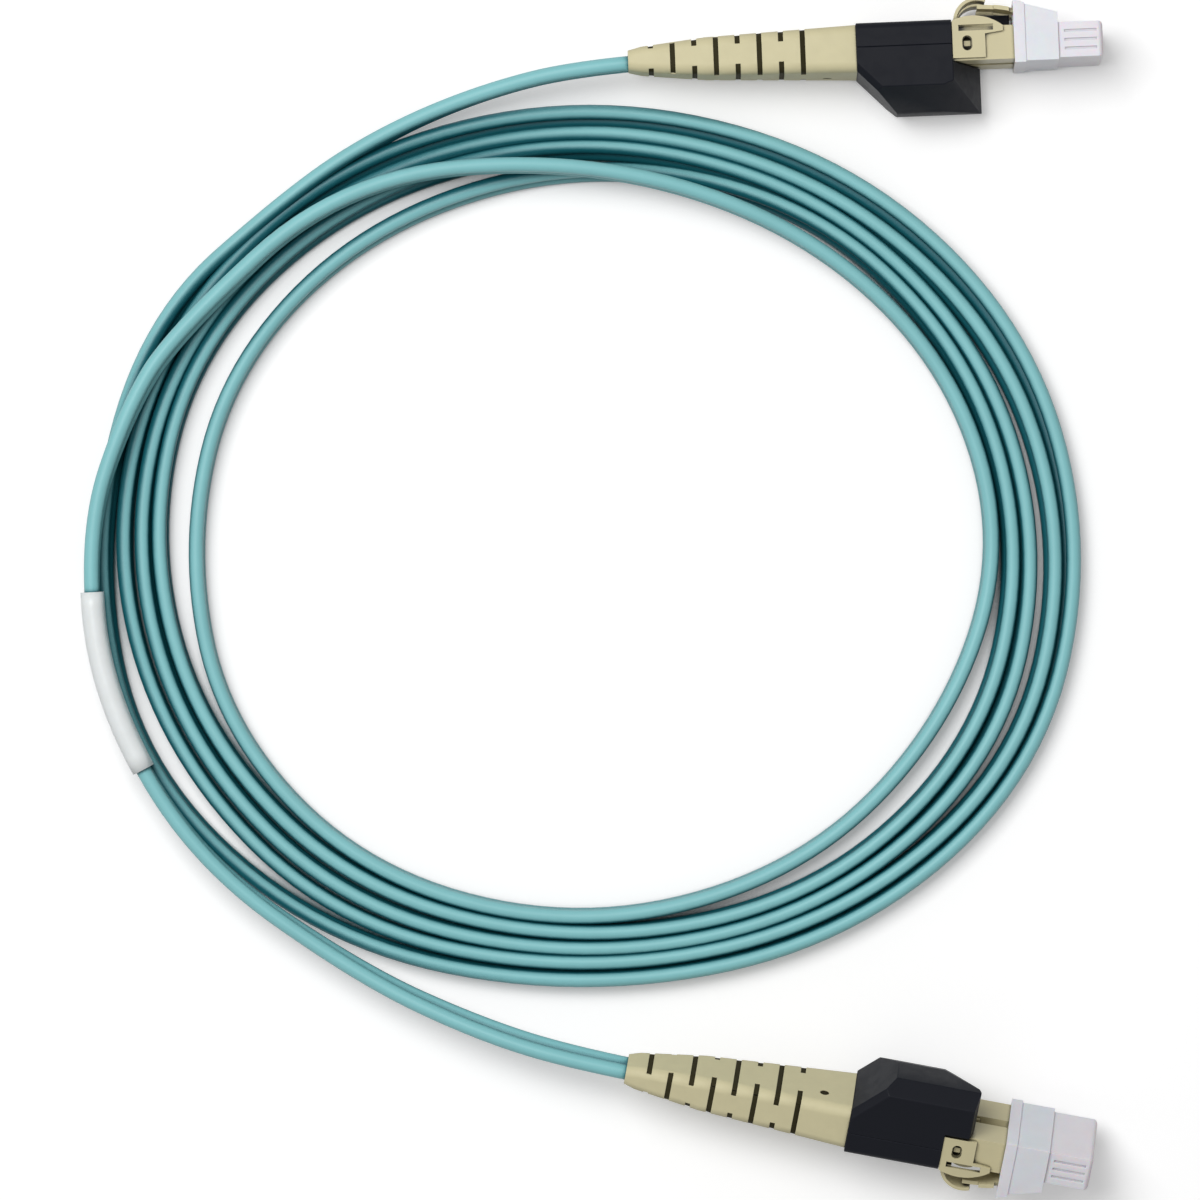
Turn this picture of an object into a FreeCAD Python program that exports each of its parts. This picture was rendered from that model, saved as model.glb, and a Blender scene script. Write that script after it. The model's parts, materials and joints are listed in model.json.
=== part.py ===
import FreeCAD, Part
import math
import os
from FreeCAD import Placement, Rotation, Vector

# A duplex fibre patch cord: a flat cord of two lobes in a loose oval coil, with a connector on each end.
# Each connector has a segmented boot, a two-piece housing with a deep belly, two plugs side by side
# with sprung ferrules, latches and anti-snag triggers, and one dust cap over both plugs.
# Millimetres. A connector's own frame has X towards its nose, Y across its plugs and Z towards its latches,
# with X = 0 where the boot meets the housing and the plug axes in the plane Z = 0.

# Clearances
SLIDE_CLEARANCE = 0.05
LOOSE_CLEARANCE = 0.12
SEAT_GAP = 0.05

# Cord
LOBE_DIA = 2.0
LOBE_RADIUS = LOBE_DIA / 2
LOBE_PITCH = LOBE_DIA + 0.04
CORD_HALF_WIDTH = LOBE_PITCH / 2 + LOBE_RADIUS
CORD_HOLE = (CORD_HALF_WIDTH + SLIDE_CLEARANCE, LOBE_RADIUS + SLIDE_CLEARANCE)
ARC_SHARE = 0.45

# Label sleeve on the cord
LABEL_BEND = 3
LABEL_LENGTH = 22.5
LABEL_WALL = 0.3
REST_HEIGHT = CORD_HOLE[0] + LABEL_WALL + LOOSE_CLEARANCE

# Coil and the places of the two connectors, measured from the middle of the coil
COIL_HALF_LENGTH = 64.6
COIL_HALF_WIDTH = 58.0
COIL_SIDE_BAND = 10.9
COIL_END_BAND = 8.3
COIL_OUTER_CENTRE = (0.9, 0.0)
COIL_INNER_CENTRE = (1.6, -0.3)
COIL_HEIGHT = 7.0
COIL_BEVEL = 2.0
END_A_ALONG = 36.0
END_A_BESIDE = 7.4
END_A_HEADING = 2.3
END_A_ROLL = -95.0
END_B_ALONG = 35.3
END_B_BESIDE = 17.1
END_B_HEADING = -10.5
END_B_ROLL = 118.0
END_A_PLACE = (END_A_ALONG, COIL_HALF_WIDTH + END_A_BESIDE)
END_B_PLACE = (END_B_ALONG, -COIL_HALF_WIDTH - END_B_BESIDE)

# The cord's free stretches: the points after each boot, chosen by hand, as shares of the coil's half sizes,
# each with its height above the level at which the labelled cord rests on its edge
FIRST_RUN = 13.5
TAIL_A_POINTS = [
    (-0.220, 1.047, 2.5),
    (-0.418, 0.948, 1.0),
    (-0.596, 0.810, 0.1),
    (-0.720, 0.647, -0.2),
]
TAIL_B_POINTS = [
    (-0.218, -1.109, 4.3),
    (-0.464, -0.983, 1.9),
    (-0.805, -0.719, 0.0),
    (-1.005, -0.336, 0.0),
    (-1.046, 0.043, 0.0),
    (-0.952, 0.310, -0.1),
    (-0.836, 0.474, -0.2),
]

# Plug bodies
PLUG_PITCH = 6.25
PLUG_SIDE = 4.5
PLUG_HALF = PLUG_SIDE / 2
PLUG_WALL = 0.75
FRAME_LENGTH = 13.45
FRAME_BORE_RADIUS = PLUG_HALF - PLUG_WALL
NOSE_BEVEL = 0.35
NOSE_RECESS_RADIUS = FRAME_BORE_RADIUS
NOSE_RECESS_DEPTH = 3.5
SEAT_RING_LENGTH = 0.4
SNAP_SETBACK = 1.95
SNAP_LENGTH = 1.1
SNAP_HEIGHT = 1.8
SNAP_SHY = 0.15

# Clip on the rear of each plug
CLIP_WALL = 0.45
CLIP_INNER = PLUG_HALF + SLIDE_CLEARANCE
CLIP_OUTER = CLIP_INNER + CLIP_WALL
CLIP_LENGTH = 4.35
CLIP_REACH = 6.75
CLIP_ARCH = 3.45
CLIP_ARCH_Z = PLUG_HALF * 1.6
CLIP_REAR_Z = PLUG_HALF * 1.36
CLIP_FOOT_Z = -PLUG_HALF * 0.87
TONGUE_TOP_Z = PLUG_HALF - SLIDE_CLEARANCE
TONGUE_ROOT_Z = PLUG_HALF * 0.53
TONGUE_END_Z = PLUG_HALF * 0.67
CLIP_SLOT_LENGTH = 4.6
CLIP_SLOT_HEIGHT = 0.8
CLIP_SLOT_Z = PLUG_HALF * 0.91
CLIP_SLOT_DEPTH = PLUG_HALF * 0.31
CLIP_SLOT_MARGIN = 0.85
BRIDGE_LENGTH = 1.6

# Housing
HOUSING_LENGTH = 12.7
HOUSING_HALF_WIDTH = PLUG_PITCH / 2 + CLIP_OUTER + 0.225
HOUSING_REAR_DEPTH = 3.2
HOUSING_TOP = HOUSING_REAR_DEPTH + 0.1
HOUSING_EDGE_ROUNDING = 1.0
SHELL_WALL = 1.0
END_WALL = 1.2
BELLY_REACH = 3.8
BELLY_LENGTH = HOUSING_LENGTH + BELLY_REACH
BELLY_DEPTH = 8.4
BELLY_SLOPE_LENGTH = 5.1
BELLY_SHOULDER = BELLY_DEPTH * 0.64
BELLY_NEAR_SHOULDER = BELLY_DEPTH * 0.79
BELLY_FLAT_LOW_Y = -HOUSING_HALF_WIDTH * 0.07
BELLY_FLAT_HIGH_Y = HOUSING_HALF_WIDTH * 0.64
BELLY_NOSE_Y = HOUSING_HALF_WIDTH * 0.6
BELLY_NOSE_BEVEL = 0.5
BELLY_BEVEL = 0.8
FACET_X = HOUSING_LENGTH - 1.3
FACET_NOSE_Y = HOUSING_HALF_WIDTH * 0.52
DIVIDER_HALF = 0.2
DIVIDER_LOW = PLUG_HALF * 0.5
DIVIDER_TOP = PLUG_HALF * 1.87
DIVIDER_RISE = 1.0
DIVIDER_CAP_GAP = 0.4

# Crimp sleeve
CRIMP_METAL = 0.38
CRIMP_OUTER = (CORD_HOLE[0] + CRIMP_METAL, CORD_HOLE[1] + CRIMP_METAL)
CRIMP_REACH = 5.3
CRIMP_COLLAR_LENGTH = 0.6
CRIMP_COLLAR_RIM = 0.5
CORD_END_X = 1.0 - CRIMP_REACH

# Boot
BOOT_LENGTH = 30.3
BOOT_FRONT = (HOUSING_HALF_WIDTH - 0.6, HOUSING_REAR_DEPTH)
BOOT_TIP = (CORD_HOLE[0] + 0.43, CORD_HOLE[1] + 0.3)
BOOT_WAIST = (BOOT_FRONT[0] * 0.72, BOOT_FRONT[1] * 0.8)
BOOT_WAIST_SETBACK = BOOT_LENGTH * 0.66
BOOT_REAR_FLARE = 0.25
BOOT_REAR = (BOOT_TIP[0] + BOOT_REAR_FLARE, BOOT_TIP[1] + BOOT_REAR_FLARE)
BOOT_ROUNDING = 1.4
BOOT_TIP_ROUNDING = 1.2
BOOT_TIP_LENGTH = 2.0
BOOT_CORE_WALL = 0.3
SLOT_COUNT = 8
SLOT_WIDTH = 0.66
FIRST_SLOT = 7.1
LAST_SLOT_SETBACK = 3.04
LAST_SLOT = BOOT_LENGTH - LAST_SLOT_SETBACK
SLOT_PITCH = (LAST_SLOT - FIRST_SLOT) / (SLOT_COUNT - 1)
DIMPLE_SETBACK = 3.9
DIMPLE_RADIUS = 0.6
DIMPLE_Y = BOOT_FRONT[0] * 0.35
DIMPLE_DEPTH = 0.8

# Stations along the connector
FRONT_WALL_X = HOUSING_LENGTH - END_WALL
FRAME_REAR_X = HOUSING_LENGTH + SEAT_GAP
SNAP_X = FRAME_REAR_X + SNAP_SETBACK
NOSE_X = FRAME_REAR_X + FRAME_LENGTH
RECESS_FLOOR_X = NOSE_X - NOSE_RECESS_DEPTH
SEAT_X = RECESS_FLOOR_X - SEAT_RING_LENGTH
FIRST_BEND_X = -BOOT_LENGTH - ARC_SHARE * FIRST_RUN - LOOSE_CLEARANCE
ROUTE_START_X = FIRST_BEND_X + FIRST_RUN

# Ferrule, its flange, its spring and the stop behind it
FERRULE_DIA = 1.25
FERRULE_RADIUS = FERRULE_DIA / 2
FERRULE_HELD_RADIUS = FERRULE_RADIUS * 0.68
FERRULE_TRAVEL = 1.0
FERRULE_REACH = 1.9
FERRULE_TIP_X = NOSE_X + FERRULE_REACH
FERRULE_REAR_X = SEAT_X - 0.6
FERRULE_TIP_BEVEL = 0.15
FLANGE_NOSE_RADIUS = FERRULE_RADIUS * 1.52
FLANGE_NOSE_X = RECESS_FLOOR_X + 0.15
FLANGE_FRONT_X = SEAT_X - SEAT_GAP
FLANGE_LENGTH = 1.65
FLANGE_REAR_X = FLANGE_FRONT_X - FLANGE_LENGTH
FLANGE_RADIUS = FRAME_BORE_RADIUS - LOOSE_CLEARANCE
STEM_LENGTH = 2.0
STEM_REAR_X = FLANGE_REAR_X - STEM_LENGTH
STEM_RADIUS = FERRULE_RADIUS * 1.25
STOP_FRONT_X = SNAP_X + SNAP_LENGTH / 2 + 0.25
STOP_NECK_RADIUS = FRAME_BORE_RADIUS - 0.2
STOP_COLLAR_RADIUS = STOP_NECK_RADIUS + 0.5
STOP_COLLAR_LENGTH = 1.0
COLLAR_FRONT_X = FRONT_WALL_X - 0.3
COLLAR_REAR_X = COLLAR_FRONT_X - STOP_COLLAR_LENGTH
SPRING_RADIUS = (STEM_RADIUS + FRAME_BORE_RADIUS) / 2
SPRING_WIRE = 0.26
SPRING_TURNS = 4
FIBRE_RADIUS = 0.3
FIBRE_REAR_X = CORD_END_X + FERRULE_TRAVEL + 0.3

# Latch on the plug's nose, as (x, z) places in the side view
KNUCKLE_RADIUS = 0.35
LATCH_LENGTH = 8.9
LATCH_RISE = 2.25
LATCH_THICKNESS = 0.55
LATCH_HALF_WIDTH = PLUG_SIDE / 3
LATCH_PAD_HALF = PLUG_HALF - 0.1
LATCH_PAD_LENGTH = 2.0
LATCH_BOSS_LENGTH = 0.9
LATCH_SETBACK = 1.1
LATCH_PIVOT = (NOSE_X - LATCH_SETBACK, PLUG_HALF + KNUCKLE_RADIUS + SLIDE_CLEARANCE)
LATCH_CREST = (LATCH_PIVOT[0] - LATCH_LENGTH * 0.47, LATCH_PIVOT[1] + LATCH_RISE * 0.73)
LATCH_TAIL = (LATCH_PIVOT[0] - LATCH_LENGTH, LATCH_PIVOT[1] + LATCH_RISE)
LATCH_PAD_X = LATCH_TAIL[0] + LATCH_LENGTH / 4

# Trigger on the clip, reaching over the latch's tail
TRIGGER_THICKNESS = 0.45
TRIGGER_HALF_WIDTH = PLUG_HALF * 0.8
TRIGGER_OVERHANG = 1.1
TRIGGER_GAP = 0.3
TRIGGER_PIVOT = (FRAME_REAR_X + KNUCKLE_RADIUS + 0.1, CLIP_REAR_Z)
TRIGGER_TIP = (
    LATCH_TAIL[0] + TRIGGER_OVERHANG,
    LATCH_TAIL[1] + LATCH_THICKNESS / 2 + TRIGGER_GAP + TRIGGER_THICKNESS / 2,
)
TRIGGER_BEND = (
    TRIGGER_PIVOT[0] + 0.17 * (TRIGGER_TIP[0] - TRIGGER_PIVOT[0]),
    TRIGGER_PIVOT[1] + 0.7 * (TRIGGER_TIP[1] - TRIGGER_PIVOT[1]),
)

# Dust cap
CAP_WALL = 0.4
CAP_ROOF_WALL = 0.5
CAP_PAD_GAP = 0.5
CAP_NOSE_SLACK = 0.2
CAP_LATCH_GAP = 0.32
CAP_NOSE_WALL = 0.6
CAP_TIP_LENGTH = 5.9
CAP_REAR_X = LATCH_PAD_X + LATCH_PAD_LENGTH + CAP_PAD_GAP
CAP_STEP_X = NOSE_X + CAP_NOSE_WALL
CAP_FRONT_X = CAP_STEP_X + CAP_TIP_LENGTH
CAP_HALF_WIDTH = PLUG_PITCH / 2 + PLUG_HALF + LOOSE_CLEARANCE + CAP_WALL
CAP_BOTTOM = PLUG_HALF + CAP_WALL
CAP_REAR_TOP = LATCH_CREST[1] + LATCH_THICKNESS / 2 + CAP_LATCH_GAP + CAP_ROOF_WALL
CAP_STEP_TOP = LATCH_PIVOT[1] + KNUCKLE_RADIUS + CAP_NOSE_SLACK + CAP_ROOF_WALL
CAP_LIP_LENGTH = 1.5
CAP_LIP = 0.2
CAP_TIP_HALF_WIDTH = CAP_HALF_WIDTH - CAP_WALL
CAP_TIP_HALF_HEIGHT = CAP_BOTTOM - CAP_WALL * 0.75
CAP_TIP_ROUNDING = 0.6
CAP_BORE_RADIUS = NOSE_RECESS_RADIUS
CAP_BORE_SLACK = 1.2
RIB_COUNT = 3
RIB_PITCH = CAP_TIP_HALF_HEIGHT / 2
RIB_GROOVE = 0.35
RIB_DEPTH = 0.25
RIB_MARGIN = 0.8


def box(x_range, y_range, z_range):
    """A block between two stations on each axis."""
    size = [high - low for low, high in (x_range, y_range, z_range)]
    return Part.makeBox(*size, Vector(x_range[0], y_range[0], z_range[0]))


def across(half):
    """The range from one side of the middle to the other."""
    return (-half, half)


def rod_x(x_range, radius):
    """A round bar along the connector's axis."""
    return Part.makeCylinder(radius, x_range[1] - x_range[0], Vector(x_range[0], 0, 0), Vector(1, 0, 0))


def rod_y(x, z, radius, half_width):
    """A round bar across the connector."""
    return Part.makeCylinder(radius, 2 * half_width, Vector(x, -half_width, z), Vector(0, 1, 0))


def plate(outline, y_range):
    """A side-view outline of (x, z) corners, as thick as the range across."""
    corners = [Vector(x, y_range[0], z) for x, z in outline + outline[:1]]
    face = Part.Face(Part.makePolygon(corners))
    return face.extrude(Vector(0, y_range[1] - y_range[0], 0))


def turned(profile):
    """A piece turned about the axis, from its (x, radius) corners."""
    closed = [(profile[0][0], 0.0)] + profile + [(profile[-1][0], 0.0)]
    corners = [Vector(x, 0, radius) for x, radius in closed + closed[:1]]
    return Part.Face(Part.makePolygon(corners)).revolve(Vector(), Vector(1, 0, 0), 360)


def rounded_outline(x, half_size, rounding):
    """A rounded rectangle square to the axis, from its half width and half height."""
    half_y, half_z = half_size
    corners = [(1, 1), (-1, 1), (-1, -1), (1, -1)]
    arcs = []
    for quarter, (side_y, side_z) in enumerate(corners):
        centre = Vector(x, side_y * (half_y - rounding), side_z * (half_z - rounding))
        points = []
        for step in range(3):
            angle = math.radians(90 * quarter + 45 * step)
            points.append(centre + Vector(0, math.cos(angle), math.sin(angle)) * rounding)
        arcs.append(points)
    edges = []
    for points, following in zip(arcs, arcs[1:] + arcs[:1]):
        edges.append(Part.Arc(*points).toShape())
        if points[2].distanceToPoint(following[0]) > 1e-6:
            edges.append(Part.LineSegment(points[2], following[0]).toShape())
    return Part.Wire(edges)


def oblong(x_range, half_size):
    """A bar along the axis with round sides, such as the flat cord's own hole."""
    face = Part.Face(rounded_outline(x_range[0], half_size, half_size[1]))
    return face.extrude(Vector(x_range[1] - x_range[0], 0, 0))


def arc_strip(start, middle, end, thickness, half_width):
    """A strip bent to the arc through three side-view points, with square ends."""
    circle = Part.Circle(*[Vector(x, -half_width, z) for x, z in (start, middle, end)])
    centre = circle.Center
    faces = []
    for radius in (circle.Radius - thickness / 2, circle.Radius + thickness / 2):
        points = []
        for x, z in (start, middle, end):
            outward = (Vector(x, -half_width, z) - centre).normalize()
            points.append(centre + outward * radius)
        faces.append(points)
    inner, outer = faces
    edges = [
        Part.Arc(*inner).toShape(),
        Part.LineSegment(inner[2], outer[2]).toShape(),
        Part.Arc(*reversed(outer)).toShape(),
        Part.LineSegment(outer[0], inner[0]).toShape(),
    ]
    return Part.Face(Part.Wire(edges)).extrude(Vector(0, 2 * half_width, 0))


def edges_where(shape, test):
    """The edges whose every corner passes a test."""
    return [edge for edge in shape.Edges if all(test(corner.Point) for corner in edge.Vertexes)]


def near(value, target):
    """Whether two measures are the same, apart from rounding."""
    return abs(value - target) < 1e-4


def both_sides(make):
    """A shape made for each side of the middle, as one."""
    return make(-1).fuse(make(1))


def bend(before, corner, after):
    """The largest tangent arc that two runs have room for: its start, middle, end, radius and centre."""
    run_in = corner - before
    run_out = after - corner
    setback = ARC_SHARE * min(run_in.Length, run_out.Length)
    half_turn = run_in.getAngle(run_out) / 2
    radius = setback / math.tan(half_turn)
    run_in.normalize()
    run_out.normalize()
    inward = (run_out - run_in).normalize()
    centre = corner + inward * (radius / math.cos(half_turn))
    return corner - run_in * setback, centre - inward * radius, corner + run_out * setback, radius, centre


def route(points):
    """Straight runs joined by tangent arcs, and the arcs' radii."""
    edges = []
    radii = []
    reached = points[0]
    for before, corner, after in zip(points, points[1:], points[2:]):
        start, middle, end, radius, _ = bend(before, corner, after)
        edges.append(Part.LineSegment(reached, start).toShape())
        edges.append(Part.Arc(start, middle, end).toShape())
        radii.append(round(radius, 1))
        reached = end
    edges.append(Part.LineSegment(reached, points[-1]).toShape())
    return Part.Wire(edges), radii


def tube(points, radius, name):
    """A round tube along a route, with its bend radii and volume printed."""
    path, radii = route(points)
    ring = Part.Wire(Part.makeCircle(radius, points[0], points[1] - points[0]))
    solid = path.makePipeShell([ring], True, False)
    share = solid.Volume / (math.pi * radius**2 * path.Length)
    print(f"{name}: bend radii {radii}, length {path.Length:.1f}, volume by section and length {share:.4f}")
    return solid


def on_taper(start, start_size, end, end_size, setback):
    """The half width and half height at a distance behind the housing, on a taper through two stations."""
    share = (setback - start) / (end - start)
    return [first + (last - first) * share for first, last in zip(start_size, end_size)]


def tapered_bar(start, start_size, end, end_size, rounding):
    """A bar as long as the boot on a taper through two stations, with its long edges rounded."""
    front, rear = [on_taper(start, start_size, end, end_size, setback) for setback in (0, BOOT_LENGTH)]
    views = []
    for half_front, half_rear in zip(front, rear):
        outline = [(0, half_front), (0, -half_front), (-BOOT_LENGTH, -half_rear), (-BOOT_LENGTH, half_rear)]
        views.append(plate(outline, across(max(front))))
    plan, side = views
    plan.rotate(Vector(), Vector(1, 0, 0), 90)
    bar = plan.common(side).removeSplitter()
    long_edges = [edge for edge in bar.Edges if not near(edge.Vertexes[0].X, edge.Vertexes[1].X)]
    return bar.makeFillet(rounding, long_edges)


def boot():
    """The strain relief in three tapers, slotted from its narrow and broad sides in turn."""
    swell = (BOOT_WAIST_SETBACK, BOOT_WAIST, BOOT_LENGTH, BOOT_REAR)
    tip_setback = BOOT_LENGTH - BOOT_TIP_LENGTH
    body = tapered_bar(0, BOOT_FRONT, BOOT_WAIST_SETBACK, BOOT_WAIST, BOOT_ROUNDING)
    body = body.common(tapered_bar(*swell, BOOT_ROUNDING))
    tip_start = on_taper(*swell, tip_setback)
    body = body.common(tapered_bar(tip_setback, tip_start, BOOT_LENGTH, BOOT_TIP, BOOT_TIP_ROUNDING))
    body = body.cut(oblong((-BOOT_LENGTH - 1, 1), CORD_HOLE))
    crimp_room = [half + LOOSE_CLEARANCE for half in CRIMP_OUTER]
    body = body.cut(oblong((-CRIMP_REACH - SEAT_GAP, 1), crimp_room))
    return body.cut(boot_slots()).cut(boot_dimple())


def boot_slots():
    """The slots that let the boot bend: side slots first, then top and bottom ones, in turn."""
    reach = BOOT_FRONT[0] + 1
    cuts = []
    for number in range(SLOT_COUNT):
        x = -FIRST_SLOT - number * SLOT_PITCH
        span = (x - SLOT_WIDTH / 2, x + SLOT_WIDTH / 2)
        core = CORD_HOLE[number % 2] + BOOT_CORE_WALL
        for cut_range in ((-reach, -core), (core, reach)):
            if number % 2 == 0:
                cuts.append(box(span, cut_range, across(reach)))
            else:
                cuts.append(box(span, across(reach), cut_range))
    return Part.makeCompound(cuts)


def boot_dimple():
    """The shallow round dimple near the boot's front, on the belly's side."""
    floor_z = DIMPLE_DEPTH - on_taper(0, BOOT_FRONT, BOOT_WAIST_SETBACK, BOOT_WAIST, DIMPLE_SETBACK)[1]
    length = BOOT_FRONT[1]
    foot = Vector(-DIMPLE_SETBACK, DIMPLE_Y, floor_z - length)
    return Part.makeCylinder(DIMPLE_RADIUS, length, foot, Vector(0, 0, 1))


def crimp_sleeve():
    """The metal sleeve round the cord's end, with a collar behind the housing's rear wall."""
    collar_x = END_WALL + SEAT_GAP
    front_x = collar_x + CRIMP_COLLAR_LENGTH
    collar_size = [half + CRIMP_COLLAR_RIM for half in CRIMP_OUTER]
    sleeve = oblong((-CRIMP_REACH, front_x), CRIMP_OUTER)
    sleeve = sleeve.fuse(oblong((collar_x, front_x), collar_size))
    return sleeve.cut(oblong((-CRIMP_REACH - 1, front_x + 1), CORD_HOLE)).removeSplitter()


def housing_ports():
    """The openings in the housing's end walls, for the crimp sleeve and the plugs' necks."""
    rear = oblong((-1, END_WALL + 1), [half + SLIDE_CLEARANCE for half in CRIMP_OUTER])
    neck_range = (FRONT_WALL_X - 1, HOUSING_LENGTH + 1)

    def neck(side):
        hole = rod_x(neck_range, STOP_NECK_RADIUS + SLIDE_CLEARANCE)
        hole.translate(Vector(0, side * PLUG_PITCH / 2, 0))
        return hole

    return rear.fuse(both_sides(neck))


def divider():
    """The thin wall that keeps the two latches apart, from inside the housing's front wall."""
    end_x = CAP_REAR_X - DIVIDER_CAP_GAP
    root_top = HOUSING_TOP - SHELL_WALL
    outline = [
        (FRONT_WALL_X + END_WALL / 2, DIVIDER_LOW),
        (end_x, DIVIDER_LOW),
        (end_x, DIVIDER_TOP),
        (HOUSING_LENGTH + DIVIDER_RISE, DIVIDER_TOP),
        (HOUSING_LENGTH, root_top),
        (FRONT_WALL_X + END_WALL / 2, root_top),
    ]
    return plate(outline, across(DIVIDER_HALF))


def housing_cover():
    """The upper half of the housing, rounded along its top edges, with the wall between the latches."""
    cover = box((0, HOUSING_LENGTH), across(HOUSING_HALF_WIDTH), (0, HOUSING_TOP))
    top_edges = edges_where(cover, lambda p: near(p.z, HOUSING_TOP))
    long_edges = [edge for edge in top_edges if near(edge.Vertexes[0].Y, edge.Vertexes[1].Y)]
    cover = cover.makeFillet(HOUSING_EDGE_ROUNDING, long_edges)
    room_width = HOUSING_HALF_WIDTH - SHELL_WALL
    room = box((END_WALL, FRONT_WALL_X), across(room_width), (-1, HOUSING_TOP - SHELL_WALL))
    return cover.cut(room).cut(housing_ports()).fuse(divider()).removeSplitter()


def belly_trough(inset):
    """The lower half's cross-section, drawn in by a wall: upright sides, two slopes and a narrow flat."""
    half_width = HOUSING_HALF_WIDTH - inset
    section = [
        (half_width, 0),
        (half_width, inset / 2 - BELLY_NEAR_SHOULDER),
        (BELLY_FLAT_HIGH_Y, inset - BELLY_DEPTH),
        (BELLY_FLAT_LOW_Y, inset - BELLY_DEPTH),
        (-half_width, inset / 2 - BELLY_SHOULDER),
        (-half_width, 0),
    ]
    corners = [Vector(0, y, z) for y, z in section + section[:1]]
    return Part.Face(Part.makePolygon(corners)).extrude(Vector(BELLY_LENGTH, 0, 0))


def belly_facet():
    """What is cut off the belly's front: all that lies outside a plane from one side's slope to the nose."""
    plane = Part.Plane(
        Vector(FACET_X, -HOUSING_HALF_WIDTH, -BELLY_SHOULDER),
        Vector(FACET_X, BELLY_FLAT_LOW_Y, -BELLY_DEPTH),
        Vector(BELLY_LENGTH, FACET_NOSE_Y, -BELLY_DEPTH),
    )
    outward = plane.Axis if plane.Axis.z < 0 else -plane.Axis
    span = across(2 * BELLY_LENGTH)
    return plane.toShape(*span, *span).extrude(outward * BELLY_LENGTH)


def belly_form():
    """The lower half's outer form: a rear slope, a deep belly under the plugs and a slanting nose."""
    shelf = PLUG_HALF + LOOSE_CLEARANCE
    profile = [
        (0, 0),
        (0, -HOUSING_REAR_DEPTH),
        (BELLY_SLOPE_LENGTH, -BELLY_DEPTH),
        (BELLY_LENGTH, -BELLY_DEPTH),
        (BELLY_LENGTH, -shelf),
        (HOUSING_LENGTH, -shelf),
        (HOUSING_LENGTH, 0),
    ]
    plan = [
        (0, HOUSING_HALF_WIDTH),
        (BELLY_LENGTH - BELLY_NOSE_BEVEL, HOUSING_HALF_WIDTH),
        (BELLY_LENGTH, BELLY_NOSE_Y),
        (HOUSING_LENGTH, -HOUSING_HALF_WIDTH),
        (0, -HOUSING_HALF_WIDTH),
    ]
    corners = [Vector(x, y, -BELLY_DEPTH) for x, y in plan + plan[:1]]
    footprint = Part.Face(Part.makePolygon(corners)).extrude(Vector(0, 0, BELLY_DEPTH))
    form = plate(profile, across(HOUSING_HALF_WIDTH)).common(footprint)
    return form.common(belly_trough(0)).cut(belly_facet()).removeSplitter()


def belly_room():
    """The hollow in the lower half, for the fibres."""
    profile = [
        (END_WALL, 0),
        (END_WALL, SHELL_WALL - HOUSING_REAR_DEPTH),
        (BELLY_SLOPE_LENGTH + SHELL_WALL / 2, SHELL_WALL - BELLY_DEPTH),
        (FRONT_WALL_X, SHELL_WALL - BELLY_DEPTH),
        (FRONT_WALL_X, 0),
    ]
    return plate(profile, across(HOUSING_HALF_WIDTH)).common(belly_trough(SHELL_WALL))


def housing_base():
    """The lower half of the housing with its belly, bevelled beside the rear slope."""
    base = belly_form()
    slope = (BELLY_DEPTH - HOUSING_REAR_DEPTH) / BELLY_SLOPE_LENGTH

    def beside_slope(p):
        return near(p.z, -HOUSING_REAR_DEPTH - slope * p.x) and near(abs(p.y), HOUSING_HALF_WIDTH)

    rear_edges = edges_where(base, beside_slope)
    sloping = [edge for edge in rear_edges if not near(edge.Vertexes[0].X, edge.Vertexes[1].X)]
    base = base.makeChamfer(BELLY_BEVEL, sloping)
    return base.cut(belly_room()).cut(housing_ports())


def oval_window(length, height, x, y_range):
    """An upright oval hole across the plug, in its side walls."""
    straight = height - length
    middle = box((x - length / 2, x + length / 2), y_range, across(straight / 2))
    half_width = y_range[1]
    ends = [rod_y(x, side * straight / 2, length / 2, half_width) for side in (-1, 1)]
    return middle.fuse(ends).removeSplitter()


def clip_slot(y_range):
    """The room of the clip's long slot, over a range across the plug."""
    x = FRAME_REAR_X + CLIP_SLOT_MARGIN
    z_range = (CLIP_SLOT_Z - CLIP_SLOT_HEIGHT / 2, CLIP_SLOT_Z + CLIP_SLOT_HEIGHT / 2)
    return box((x, x + CLIP_SLOT_LENGTH), y_range, z_range)


def plug_frame():
    """The square plug body with its nose recess, ferrule seat, snap windows, slots and latch root."""
    frame = box((FRAME_REAR_X, NOSE_X), across(PLUG_HALF), across(PLUG_HALF))
    frame = frame.makeChamfer(NOSE_BEVEL, edges_where(frame, lambda p: near(p.x, NOSE_X)))
    pivot_x, pivot_z = LATCH_PIVOT
    boss_range = (pivot_x, pivot_x + LATCH_BOSS_LENGTH)
    boss = box(boss_range, across(LATCH_HALF_WIDTH), (PLUG_HALF - NOSE_BEVEL, pivot_z + KNUCKLE_RADIUS))
    frame = frame.fuse(boss).removeSplitter()
    frame = frame.cut(rod_y(*LATCH_PIVOT, KNUCKLE_RADIUS + SLIDE_CLEARANCE, PLUG_HALF))
    ring_radius = FLANGE_NOSE_RADIUS + LOOSE_CLEARANCE
    hollow = turned(
        [
            (FRAME_REAR_X - 1, FRAME_BORE_RADIUS),
            (SEAT_X, FRAME_BORE_RADIUS),
            (SEAT_X, ring_radius),
            (RECESS_FLOOR_X, ring_radius),
            (RECESS_FLOOR_X, NOSE_RECESS_RADIUS),
            (NOSE_X + 1, NOSE_RECESS_RADIUS),
        ]
    )
    slot_floor = PLUG_HALF - CLIP_SLOT_DEPTH
    slots = [clip_slot(y_range) for y_range in ((-PLUG_SIDE, -slot_floor), (slot_floor, PLUG_SIDE))]
    frame = frame.cut(hollow).cut(Part.makeCompound(slots))
    return frame.cut(oval_window(SNAP_LENGTH, SNAP_HEIGHT, SNAP_X, across(PLUG_SIDE)))


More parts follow.
